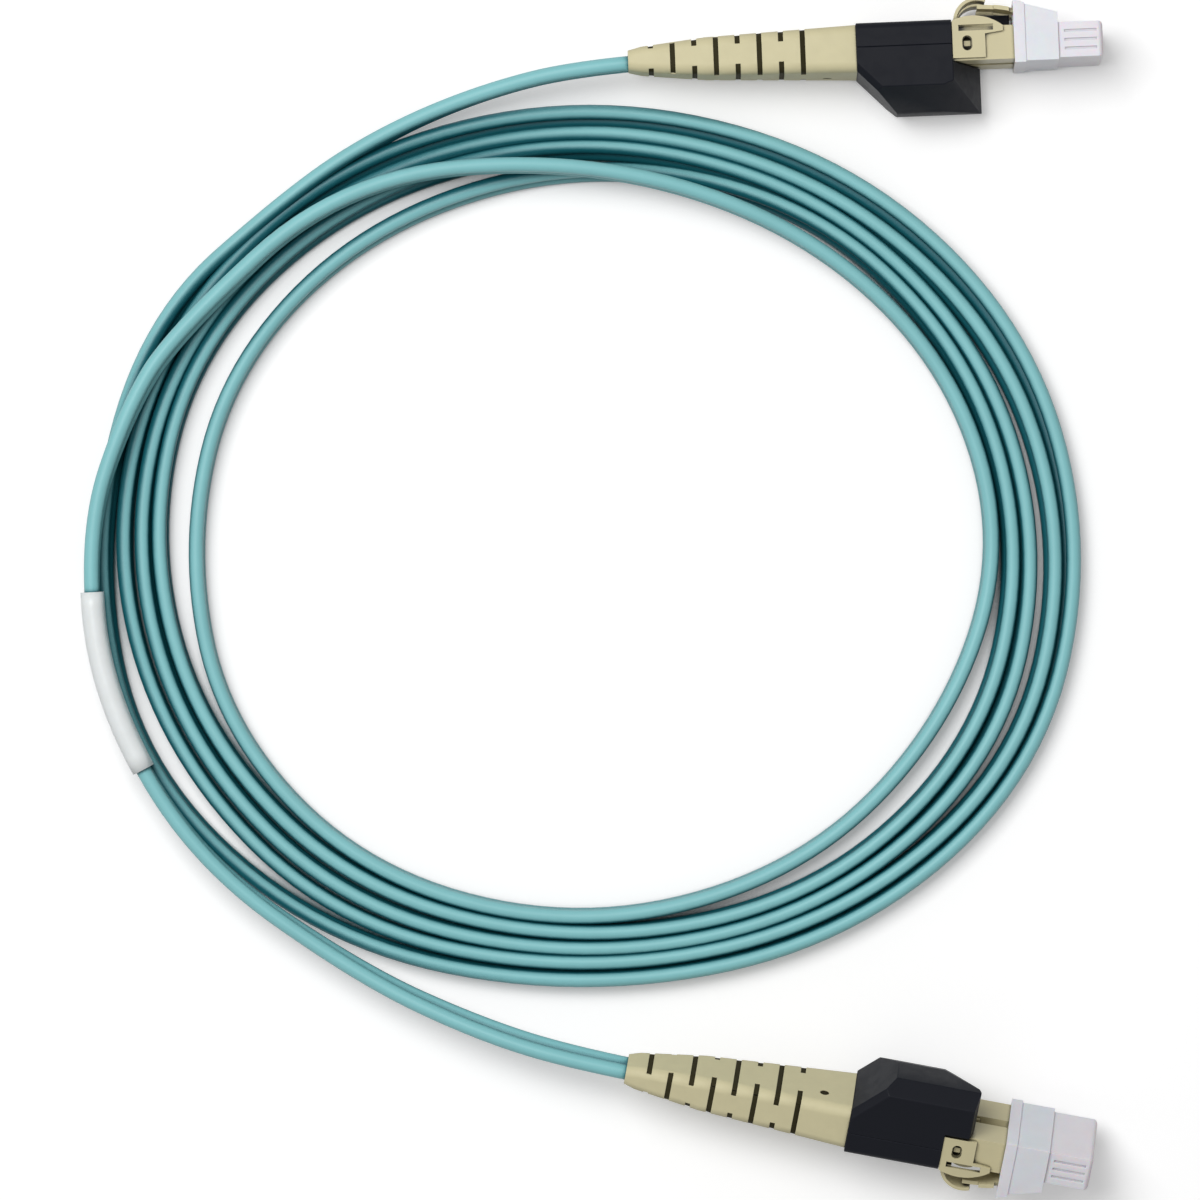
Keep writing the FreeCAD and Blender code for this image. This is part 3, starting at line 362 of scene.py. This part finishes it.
def shared_group(name):
    """One of the shared node groups, built the first time that a material asks for it."""
    makers = {"moulded_grain": moulded_grain_group, "painted_crevice_shade": painted_crevice_shade_group, "worn_edge": worn_edge_group}
    return bpy.data.node_groups.get(name) or makers[name]()


def place_group(tree, name, **values):
    """A shared group placed in a material with its own values."""
    made = add_node(tree, "ShaderNodeGroup", node_tree=shared_group(name))
    for socket, value in values.items():
        made.inputs[socket].default_value = value
    return made.outputs


def new_material(name, **sockets):
    """A new material, its tree and its shader, with values that are the same all over the surface."""
    material = bpy.data.materials.new(name)
    material.use_nodes = True
    tree = material.node_tree
    shader = tree.nodes["Principled BSDF"]
    for socket, value in sockets.items():
        shader.inputs[socket.replace("_", " ")].default_value = value
    return material, tree, shader


def clouded(tree, clouds, colour, darker, lighter):
    """A colour with soft clouds in it, between two shades."""
    return mixed(tree, clouds, shade(colour, darker), shade(colour, lighter))


def with_painted_crevice_shade(tree, tone, painted_shade_colour, **values):
    """A tone that turns to a painted shade colour in crevices, where little light gets in."""
    return mixed(tree, place_group(tree, "painted_crevice_shade", **values)["Mask"], tone, painted_shade_colour)


def roughened(tree, shader, mask, least, extra):
    """Makes a shader rougher where a mask is high."""
    tree.links.new(scaled(tree, mask, extra, least), shader.inputs["Roughness"])


def bumped(tree, shader, height, depth, strength):
    """Feeds a height to a shader's normal, with its depth in millimetres."""
    bump = add_node(tree, "ShaderNodeBump", {"Strength": strength, "Distance": depth * MM})
    tree.links.new(height, bump.inputs["Height"])
    tree.links.new(bump.outputs["Normal"], shader.inputs["Normal"])


def moulded(name, colour, roughness, grain, depth, reach, painted_crevice_shade, edge, **sockets):
    """A moulded plastic: grain scale and depth, painted crevice shade's reach and darkness, worn edges'
    tone.

    Depth and reach are in millimetres.
    """
    material, tree, shader = new_material(name, **sockets)
    surface = place_group(tree, "moulded_grain", Grain=grain)
    tone = clouded(tree, surface["Clouds"], colour, darker=0.94, lighter=1.06)
    tone = mixed(tree, place_group(tree, "worn_edge")["Mask"], tone, shade(colour, edge))
    # Painted shade: the tone darkens in crevices, where little light gets in
    tone = with_painted_crevice_shade(tree, tone, shade(colour, painted_crevice_shade), Reach=reach * MM)
    tree.links.new(tone, shader.inputs["Base Color"])
    roughened(tree, shader, surface["Smudge"], least=roughness, extra=SMUDGE_ROUGHNESS)
    bumped(tree, shader, surface["Height"], depth=depth, strength=0.5)
    return material


def boot_rubber(colour):
    """The strain reliefs' soft beige rubber, with painted shade that turns its slots near black."""
    return moulded(
        "boot_rubber", colour, roughness=0.52, grain=5200, depth=0.03, reach=1.4, painted_crevice_shade=0.03, edge=1.1,
        Specular_IOR_Level=0.3,
    )


def slot_painted_shade(colour):
    """A dark colour in the strain reliefs' slots: painted shade, which stands in for the shadow deep in
    them.
    """
    return moulded(
        "slot_painted_shade", colour, roughness=0.7, grain=5200, depth=0.03, reach=1.4, painted_crevice_shade=0.5, edge=1.0,
        Specular_IOR_Level=0.1,
    )


def housing_plastic(colour):
    """The housings' black plastic, with a fine spark-eroded grain."""
    return moulded(
        "housing_plastic", colour, roughness=0.46, grain=7000, depth=0.025, reach=1.0, painted_crevice_shade=0.4, edge=2.4,
        Specular_IOR_Level=0.11,
    )


def plug_plastic(colour):
    """The plugs' hard beige plastic."""
    return moulded(
        "plug_plastic", colour, roughness=0.36, grain=9000, depth=0.012, reach=1.1, painted_crevice_shade=0.04, edge=1.1,
        Specular_IOR_Level=0.35,
    )


def cap_plastic(colour):
    """The dust caps' milky soft plastic, which lets some light through."""
    return moulded(
        "cap_plastic", colour, roughness=0.34, grain=6000, depth=0.012, reach=0.8, painted_crevice_shade=0.7, edge=1.06,
        Subsurface_Weight=0.35, Subsurface_Scale=1.5 * MM, Specular_IOR_Level=0.4,
    )


def extruded_lines(tree):
    """A mask of fine lines along the cord, from the places along and around it that its points carry."""
    place = add_node(tree, "ShaderNodeCombineXYZ")
    for label, axis, often in (("along", "X", LINES_ALONG), ("around", "Y", LINES_AROUND)):
        share = add_node(tree, "ShaderNodeAttribute", attribute_name=label)
        tree.links.new(scaled(tree, share.outputs["Fac"], often), place.inputs[axis])
    lines = add_node(tree, "ShaderNodeTexNoise", {"Scale": 1.0, "Detail": 3.0, "Roughness": 0.55})
    tree.links.new(place.outputs["Vector"], lines.inputs["Vector"])
    return lines.outputs["Fac"]


def jacket_plastic(colour, painted_shade_colour):
    """The cord's satin jacket, with painted shade in the gaps between turns and fine lines from its
    extrusion.
    """
    material, tree, shader = new_material("jacket_plastic", Specular_IOR_Level=0.35)
    lines = extruded_lines(tree)
    surface = place_group(tree, "moulded_grain", Grain=7000, Clouds=90)
    tone = clouded(tree, surface["Clouds"], colour, darker=0.9, lighter=1.1)
    tone = mixed(tree, scaled(tree, lines, factor=0.25), tone, shade(colour, share=0.8))
    # Painted shade: the jacket turns dark teal where the turns shade each other
    tone = with_painted_crevice_shade(tree, tone, painted_shade_colour, Reach=8.0 * MM, Open=0.92, Shut=0.55)
    tree.links.new(tone, shader.inputs["Base Color"])
    roughened(tree, shader, lines, least=0.34, extra=0.16)
    bumped(tree, shader, lines, depth=0.02, strength=0.4)
    return material


def sleeve_film(colour):
    """The blank sleeve's whitish film, creased a little."""
    material, tree, shader = new_material("sleeve_film", Specular_IOR_Level=0.4, Subsurface_Weight=0.1)
    surface = place_group(tree, "moulded_grain", Grain=2600, Clouds=320)
    tone = clouded(tree, surface["Clouds"], colour, darker=0.94, lighter=1.06)
    # Painted shade in the sleeve's folds and where it lies close to the cord
    tone = with_painted_crevice_shade(tree, tone, shade(colour, share=0.5), Reach=1.0 * MM)
    tree.links.new(tone, shader.inputs["Base Color"])
    roughened(tree, shader, surface["Smudge"], least=0.3, extra=0.15)
    bumped(tree, shader, surface["Clouds"], depth=0.12, strength=0.5)
    return material


def turned_finish(name, colour, metallic, roughness, lines):
    """A hard turned piece, with fine tool lines across its axis."""
    material, tree, shader = new_material(name, Metallic=metallic)
    place = add_node(tree, "ShaderNodeTexCoord")
    wave = add_node(tree, "ShaderNodeTexWave", {"Scale": lines, "Distortion": 1.5, "Detail": 2.0})
    tree.links.new(place.outputs["Object"], wave.inputs["Vector"])
    surface = place_group(tree, "moulded_grain", Grain=12000)
    tone = clouded(tree, surface["Clouds"], colour, darker=0.88, lighter=1.08)
    # Painted shade in the grooves and corners of the turned pieces
    tone = with_painted_crevice_shade(tree, tone, shade(colour, share=0.3), Reach=0.6 * MM)
    tree.links.new(tone, shader.inputs["Base Color"])
    roughened(tree, shader, wave.outputs["Fac"], least=roughness, extra=TOOL_LINE_ROUGHNESS)
    bumped(tree, shader, wave.outputs["Fac"], depth=0.004, strength=0.3)
    return material


def dress(node, material):
    """Gives a CAD node's object a material."""
    piece = frame["nodes"][node]
    piece.data.materials.clear()
    piece.data.materials.append(material)


def placed(mesh, material):
    """A new object in the scene, from a mesh and its material."""
    mesh.materials.clear()
    mesh.materials.append(material)
    piece = bpy.data.objects.new(mesh.name, mesh)
    bpy.context.collection.objects.link(piece)
    return piece


def smooth_mesh(name, form, angle):
    """A mesh from a finished form, smooth apart from its edges sharper than an angle."""
    mesh = bpy.data.meshes.new(name)
    form.to_mesh(mesh)
    form.free()
    mesh.shade_smooth()
    mesh.set_sharp_from_angle(angle=angle)
    return mesh


def finished(node, material, edge):
    """A copy of a CAD node with its sharp edges rounded. It stands for the node and rides where it does."""
    source = frame["nodes"][node]
    form = bmesh.new()
    form.from_mesh(source.data)
    bmesh.ops.remove_doubles(form, verts=form.verts, dist=MERGE_DISTANCE)
    bmesh.ops.dissolve_limit(form, angle_limit=FLAT_ANGLE, verts=form.verts, edges=form.edges)
    sharp = [line for line in form.edges if line.calc_face_angle(0) > SHARP_ANGLE]
    bmesh.ops.bevel(
        form,
        geom=sharp,
        offset=edge,
        affect="EDGES",
        segments=EDGE_STEPS,
        profile=0.5,
        material=-1,
        clamp_overlap=True,
    )
    piece = placed(smooth_mesh(f"{node}_finish", form, SMOOTH_ANGLE), material)
    normals = piece.modifiers.new("flat_faces", "WEIGHTED_NORMAL")
    normals.keep_sharp = True
    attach(piece, source["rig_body"])
    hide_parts(node)


def joint_named(name):
    """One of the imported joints."""
    return next(joint for joint in frame["joints"] if joint["name"] == name)


def add_wall(piece, thickness):
    """Gives a piece's surface a wall on its inner side."""
    wall = piece.modifiers.new("wall", "SOLIDIFY")
    wall.thickness = thickness
    wall.offset = -1


def slot_shade_core(end, material, depth, wall):
    """The thin open dark core that closes a boot's slots, as painted shade in them: the boot's form without
    them, smaller by a depth.
    """
    forward = Vector(joint_named(f"dust_cap_{end}_slide")["axis"])
    form = bmesh.new()
    for vertex in frame["nodes"][f"boot_{end}"].data.vertices:
        form.verts.new(vertex.co)
    bmesh.ops.remove_doubles(form, verts=form.verts, dist=CORE_MERGE_DISTANCE)
    hull = bmesh.ops.convex_hull(form, input=form.verts)
    bmesh.ops.delete(form, geom=hull["geom_interior"], context="VERTS")
    bmesh.ops.dissolve_limit(form, angle_limit=FLAT_ANGLE, verts=form.verts, edges=form.edges)
    form.normal_update()
    for vertex in form.verts:
        vertex.co -= vertex.normal * depth
    open_ends = [face for face in form.faces if abs(face.normal.dot(forward)) > END_FACE_SHARE]
    bmesh.ops.delete(form, geom=open_ends, context="FACES")
    piece = placed(smooth_mesh(f"boot_shade_core_{end}", form, SHARP_ANGLE), material)
    add_wall(piece, wall)
    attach(piece, ROOT)


def squeezed_spring(plug, material):
    """A copy of a plug's spring, which stands for it and is held to the cord's root."""
    node = f"spring_{plug}"
    mesh = frame["nodes"][node].data.copy()
    mesh.name = f"{node}_finish"
    piece = placed(mesh, material)
    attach(piece, ROOT)
    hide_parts(node)
    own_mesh(piece)


def coil_point(x, y, height):
    """A point from its place beside the coil's middle and its height over the floor."""
    return Vector((COIL_MIDDLE.x + x, COIL_MIDDLE.y + y, height))


def tail_route(rows):
    """A tail's control points and leans."""
    points = []
    for x, y, height, lean in rows:
        points.append((coil_point(x * COIL_HALF_LENGTH, y * COIL_HALF_WIDTH, height * MM), lean))
    return points


def coil_route(lobe):
    """The coil's control points and leans, turn by turn."""
    step = math.radians(360 / TURN_STEPS)
    # The curve runs inside its control points, so they stand this much further out
    outside = 4 / (3 + math.cos(step))
    hump_start = len(TURN_RADII) * TURN_STEPS - len(LAST_HUMP)
    points = []
    for radii, (lean, swing) in zip(TURN_RADII, TURN_LEANS):
        for number, radius in enumerate(radii):
            angle = math.radians(TURN_START) + number * step
            tilt = lean + swing * math.cos(angle - math.radians(LEAN_SIDE))
            # The lower lobe of the leaning cord rests on the floor, apart from the last turn's climb
            height = lobe / 2 * (1 + math.cos(math.radians(tilt))) - REST_SINK * MM
            if len(points) >= hump_start:
                height = LAST_HUMP[len(points) - hump_start] * MM
            x = radius * MM * outside * math.cos(angle)
            y = radius * MM * outside * math.sin(angle) * TURN_FLATNESS
            points.append((coil_point(x, y, height), tilt))
    return points


def cord_route(lobe):
    """The whole cord's control points and leans, from the first boot through the coil to the second."""
    return tail_route(ROUTE_A) + coil_route(lobe) + tail_route(ROUTE_B)


def cord_outline(lobe, web):
    """The flat cord's section: two round lobes joined by a thin web."""
    radius = lobe / 2
    # Half the angle that the web takes up on each lobe
    neck = math.asin(web / lobe)
    sweep = 2 * math.pi - 2 * neck
    corners = []
    for side in (1, -1):
        for number in range(LOBE_STEPS + 1):
            angle = math.radians(-90 * side) + neck + sweep * number / LOBE_STEPS
            corners.append((radius * math.cos(angle), side * radius + radius * math.sin(angle)))
    return corners


def sleeve_outline(half_thickness, half_width):
    """The sleeve's section: a flat oblong with round ends."""
    corners = []
    for side, start in ((1, 0), (-1, math.pi)):
        for number in range(SLEEVE_END_STEPS + 1):
            angle = start + math.pi * number / SLEEVE_END_STEPS
            y = side * (half_width - half_thickness) + half_thickness * math.sin(angle)
            corners.append((half_thickness * math.cos(angle), y))
    return corners


def flat_curve(name, corners):
    """A closed outline to sweep along a route."""
    curve = bpy.data.curves.new(name, "CURVE")
    spline = curve.splines.new("POLY")
    spline.points.add(len(corners) - 1)
    for point, (x, y) in zip(spline.points, corners):
        point.co = (x, y, 0, 1)
    spline.use_cyclic_u = True
    return bpy.data.objects.new(name, curve)


def route_curve(name, points, kind):
    """An open curve along points, each with its lean, that keeps the swept outline upright."""
    curve = bpy.data.curves.new(name, "CURVE")
    curve.dimensions = "3D"
    curve.twist_mode = "Z_UP"
    spline = curve.splines.new(kind)
    spline.points.add(len(points) - 1)
    for control, (place, lean) in zip(spline.points, points):
        control.co = (*place, 1)
        control.tilt = math.radians(lean)
    if kind == "NURBS":
        spline.order_u = ROUTE_ORDER
        spline.use_endpoint_u = True
        spline.resolution_u = ROUTE_RESOLUTION
    return bpy.data.objects.new(name, curve)


def curve_mesh(holder):
    """A curve object's mesh, as Blender evaluates it."""
    bpy.context.collection.objects.link(holder)
    bpy.context.view_layer.update()
    mesh = bpy.data.meshes.new_from_object(holder.evaluated_get(bpy.context.evaluated_depsgraph_get()))
    bpy.context.collection.objects.unlink(holder)
    return mesh


def cord_path(lobe):
    """The points of the cord's middle line, read from its route's spline."""
    line = curve_mesh(route_curve("cord_line", cord_route(lobe), "NURBS"))
    return [vertex.co.copy() for vertex in line.vertices]


def swept(name, holder, corners, capped, material):
    """A mesh piece: an outline swept along a curve, with each point's place along and around it."""
    outline = flat_curve(f"{name}_outline", corners)
    bpy.context.collection.objects.link(outline)
    holder.data.bevel_mode = "OBJECT"
    holder.data.bevel_object = outline
    holder.data.use_fill_caps = capped
    mesh = curve_mesh(holder)
    bpy.data.objects.remove(outline)
    bpy.data.objects.remove(holder)
    mesh.name = name
    ring = len(corners)
    rings = len(mesh.vertices) // ring
    shares = {
        "along": [number // ring / rings for number in range(len(mesh.vertices))],
        "around": [number % ring / ring for number in range(len(mesh.vertices))],
    }
    for label, values in shares.items():
        mesh.attributes.new(label, "FLOAT", "POINT").data.foreach_set("value", values)
    mesh.shade_smooth()
    mesh.set_sharp_from_angle(angle=SWEEP_SHARP_ANGLE)
    return placed(mesh, material)


def run_beside(path, nearest, half_length):
    """The points of a path for about a half length to each side of one of them."""
    run = [path[nearest]]
    for step in (1, -1):
        number = nearest
        reached = 0.0
        while reached < half_length:
            reached += (path[number + step] - path[number]).length
            number += step
            run.insert(len(run) if step == 1 else 0, path[number])
    return run


class PATCHCORD_OT_sleeve(bpy.types.Operator):
    """Slip the blank sleeve over the cord near the second connector"""

    bl_idname = "patch_cord.sleeve"
    bl_label = "Blank sleeve"

    def execute(self, context):
        settings = context.scene.patch_cord
        low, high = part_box("label_sleeve")
        middle = (low + high) / 2
        path = cord_path(settings.lobe)
        last_part = range(int(len(path) * SLEEVE_SEARCH_START), len(path))
        nearest = min(last_part, key=lambda number: (path[number] - middle).length)
        run = run_beside(path, nearest, settings.sleeve_length / 2)
        holder = route_curve("sleeve_line", [(place, SLEEVE_LEAN) for place in run], "POLY")
        half_thickness = settings.lobe / 2 + settings.sleeve_gap
        half_width = settings.lobe + settings.sleeve_gap
        outline = sleeve_outline(half_thickness, half_width)
        piece = swept("blank_sleeve", holder, outline, False, sleeve_film(settings.sleeve))
        add_wall(piece, settings.sleeve_wall)
        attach(piece, ROOT)
        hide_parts("label_sleeve")
        return {"FINISHED"}


class PATCHCORD_OT_cord(bpy.types.Operator):
    """Wind the flat cord from one boot through the coil to the other"""

    bl_idname = "patch_cord.cord"
    bl_label = "Cord"

    def execute(self, context):
        settings = context.scene.patch_cord
        path = cord_path(settings.lobe)
        holder = route_curve("cord_route", cord_route(settings.lobe), "NURBS")
        outline = cord_outline(settings.lobe, settings.web)
        material = jacket_plastic(settings.jacket, settings.jacket_painted_shade)
        piece = swept("flat_cord", holder, outline, True, material)
        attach(piece, ROOT)
        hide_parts("cable_coil", "cable_tail_a", "cable_tail_b")
        return {"FINISHED"}


class PATCHCORD_OT_boots(bpy.types.Operator):
    """Finish the strain relief on each end"""

    bl_idname = "patch_cord.boots"
    bl_label = "Boots"

    def execute(self, context):
        settings = context.scene.patch_connectors
        material = boot_rubber(settings.boot)
        dark = slot_painted_shade(settings.slot)
        for end in ENDS:
            finished(f"boot_{end}", material, settings.edge)
            # A dark core behind each boot's slots, painted shade in them
            slot_shade_core(end, dark, settings.slot_depth, settings.slot_wall)
        return {"FINISHED"}


class PATCHCORD_OT_housings(bpy.types.Operator):
    """Finish the housing on each end, base and cover"""

    bl_idname = "patch_cord.housings"
    bl_label = "Housings"

    def execute(self, context):
        settings = context.scene.patch_connectors
        material = housing_plastic(settings.housing)
        for end in ENDS:
            for half in ("housing_base", "housing_cover"):
                finished(f"{half}_{end}", material, settings.edge)
        return {"FINISHED"}


class PATCHCORD_OT_plugs(bpy.types.Operator):
    """Finish the plug bodies with their latches, clips, triggers and spring stops"""

    bl_idname = "patch_cord.plugs"
    bl_label = "Plugs"

    def execute(self, context):
        settings = context.scene.patch_connectors
        material = plug_plastic(settings.plug)
        for plug in PLUGS:
            for part in ("plug_frame", "latch", "trigger_clip", "trigger"):
                finished(f"{part}_{plug}", material, settings.plug_edge)
            dress(f"spring_stop_{plug}", material)
        return {"FINISHED"}


class PATCHCORD_OT_inner_pieces(bpy.types.Operator):
    """Finish the ferrules, flanges, springs, fibres and crimp sleeves"""

    bl_idname = "patch_cord.inner_pieces"
    bl_label = "Inner pieces"

    def execute(self, context):
        settings = context.scene.patch_connectors
        ceramic = turned_finish("ferrule_ceramic", settings.ceramic, metallic=0, roughness=0.12, lines=9000)
        steel = turned_finish("spring_steel", settings.steel, metallic=1, roughness=0.26, lines=5000)
        crimp = turned_finish("crimp_metal", settings.crimp, metallic=1, roughness=0.34, lines=3000)
        fibre = turned_finish("fibre_buffer", settings.fibre, metallic=0, roughness=0.4, lines=2000)
        for plug in PLUGS:
            dress(f"ferrule_{plug}", ceramic)
            dress(f"ferrule_flange_{plug}", steel)
            squeezed_spring(plug, steel)
            dress(f"fibre_{plug}", fibre)
        for end in ENDS:
            dress(f"crimp_sleeve_{end}", crimp)
        return {"FINISHED"}


class PATCHCORD_OT_caps(bpy.types.Operator):
    """Finish the dust cap on each end"""

    bl_idname = "patch_cord.caps"
    bl_label = "Dust caps"

    def execute(self, context):
        settings = context.scene.patch_connectors
        material = cap_plastic(settings.cap)
        for end in ENDS:
            finished(f"dust_cap_{end}", material, settings.cap_edge)
        return {"FINISHED"}


def seen_rays(tree):
    """A mask of the rays that show a surface: straight, mirrored, or through something clear."""
    rays = add_node(tree, "ShaderNodeLightPath")
    seen = rays.outputs["Is Camera Ray"]
    for name in ("Is Glossy Ray", "Is Transmission Ray"):
        either = add_node(tree, "ShaderNodeMath", operation="MAXIMUM")
        tree.links.new(seen, either.inputs[0])
        tree.links.new(rays.outputs[name], either.inputs[1])
        seen = either.outputs[0]
    return seen


def floor_material(colour, painted_shade_colour):
    """The pale floor: white where it is seen, painted shade in narrow gaps, and dimmer in the light it sends
    back.
    """
    material, tree, shader = new_material(
        "pale_floor", Roughness=0.9, Specular_IOR_Level=0.0, Emission_Strength=1.0
    )
    seen = seen_rays(tree)
    # Painted shade: the floor turns dark teal in narrow gaps and its glow fades there
    gaps = place_group(tree, "painted_crevice_shade", Reach=2.2 * MM, Open=0.54, Shut=0.34)["Mask"]
    tone = mixed(tree, gaps, mixed(tree, seen, shade(colour, FLOOR_RETURN), colour), painted_shade_colour)
    tree.links.new(tone, shader.inputs["Base Color"])
    glow = mixed(tree, gaps, mixed(tree, seen, NO_GLOW, FLOOR_GLOW), NO_GLOW)
    tree.links.new(glow, shader.inputs["Emission Color"])
    return material


def studio_world(strength):
    """Even light from all round, white where it is seen."""
    world = bpy.data.worlds.new("studio")
    world.use_nodes = True
    tree = world.node_tree
    background = tree.nodes["Background"]
    tree.links.new(scaled(tree, seen_rays(tree), 1 - strength, strength), background.inputs["Strength"])
    background.inputs["Color"].default_value = (1, 1, 1, 1)
    return world


def add_camera(scene, settings, middle):
    """The camera, straight over the middle of the picture."""
    camera = bpy.data.cameras.new("camera")
    camera.sensor_width = SENSOR_WIDTH
    camera.lens = camera.sensor_width * settings.camera_height / settings.view_width
    camera.clip_end = FARTHEST_SEEN
    holder = bpy.data.objects.new("camera", camera)
    holder.location = middle + Vector((0, 0, settings.camera_height))
    scene.collection.objects.link(holder)
    scene.camera = holder


def add_floor(scene, settings):
    """The floor under the coil."""
    mesh = bpy.data.meshes.new("floor")
    form = bmesh.new()
    bmesh.ops.create_grid(form, x_segments=1, y_segments=1, size=settings.floor_reach)
    form.to_mesh(mesh)
    form.free()
    floor = bpy.data.objects.new("floor", mesh)
    scene.collection.objects.link(floor)
    floor.data.materials.append(floor_material(settings.floor, settings.floor_painted_shade))


def add_lamp(scene, settings, middle):
    """The main lamp, which looks at the middle of the picture."""
    lamp = bpy.data.lights.new("key", "AREA")
    lamp.energy = settings.lamp_power
    lamp.size = settings.lamp_size
    key = bpy.data.objects.new("key", lamp)
    key.location = middle + LAMP_PLACE
    key.rotation_euler = (middle - key.location).to_track_quat("-Z", "Y").to_euler()
    scene.collection.objects.link(key)


class PATCHCORD_OT_stage(bpy.types.Operator):
    """Set the floor, the light and the camera"""

    bl_idname = "patch_cord.stage"
    bl_label = "Stage"

    def execute(self, context):
        scene = context.scene
        settings = scene.patch_stage
        middle = Vector((COIL_MIDDLE.x, COIL_MIDDLE.y, 0)) + VIEW_SHIFT
        scene.view_settings.view_transform = "Standard"
        add_camera(scene, settings, middle)
        add_floor(scene, settings)
        add_lamp(scene, settings, middle)
        scene.world = studio_world(settings.sky)
        return {"FINISHED"}


SETTINGS = {"patch_cord": CordSettings, "patch_connectors": ConnectorSettings, "patch_stage": StageSettings}
OPERATORS = (
    PATCHCORD_OT_sleeve,
    PATCHCORD_OT_cord,
    PATCHCORD_OT_boots,
    PATCHCORD_OT_housings,
    PATCHCORD_OT_plugs,
    PATCHCORD_OT_inner_pieces,
    PATCHCORD_OT_caps,
    PATCHCORD_OT_stage,
)


class PATCHCORD_PT_panel(bpy.types.Panel):
    """The patch cord's pieces, with the sizes and colours that they take"""

    bl_idname = "PATCHCORD_PT_panel"
    bl_label = "Patch Cord"
    bl_space_type = "VIEW_3D"
    bl_region_type = "UI"
    bl_category = "Patch Cord"

    def draw(self, context):
        for name in SETTINGS:
            settings = getattr(context.scene, name)
            box = self.layout.box()
            for field in settings.__annotations__:
                box.prop(settings, field)
        for operator in OPERATORS:
            self.layout.operator(operator.bl_idname)


CLASSES = (*SETTINGS.values(), *OPERATORS, PATCHCORD_PT_panel)


def register():
    """Adds the settings, the operators and the panel to Blender."""
    for item in CLASSES:
        bpy.utils.register_class(item)
    for name, group in SETTINGS.items():
        setattr(bpy.types.Scene, name, bpy.props.PointerProperty(type=group))


def unregister():
    """Takes the settings, the operators and the panel away again."""
    for name in SETTINGS:
        delattr(bpy.types.Scene, name)
    for item in reversed(CLASSES):
        bpy.utils.unregister_class(item)


def main():
    """Builds every piece and the stage."""
    register()
    bpy.ops.patch_cord.sleeve()
    bpy.ops.patch_cord.cord()
    bpy.ops.patch_cord.boots()
    bpy.ops.patch_cord.housings()
    bpy.ops.patch_cord.plugs()
    bpy.ops.patch_cord.inner_pieces()
    bpy.ops.patch_cord.caps()
    bpy.ops.patch_cord.stage()


if __name__ == "__main__":
    main()
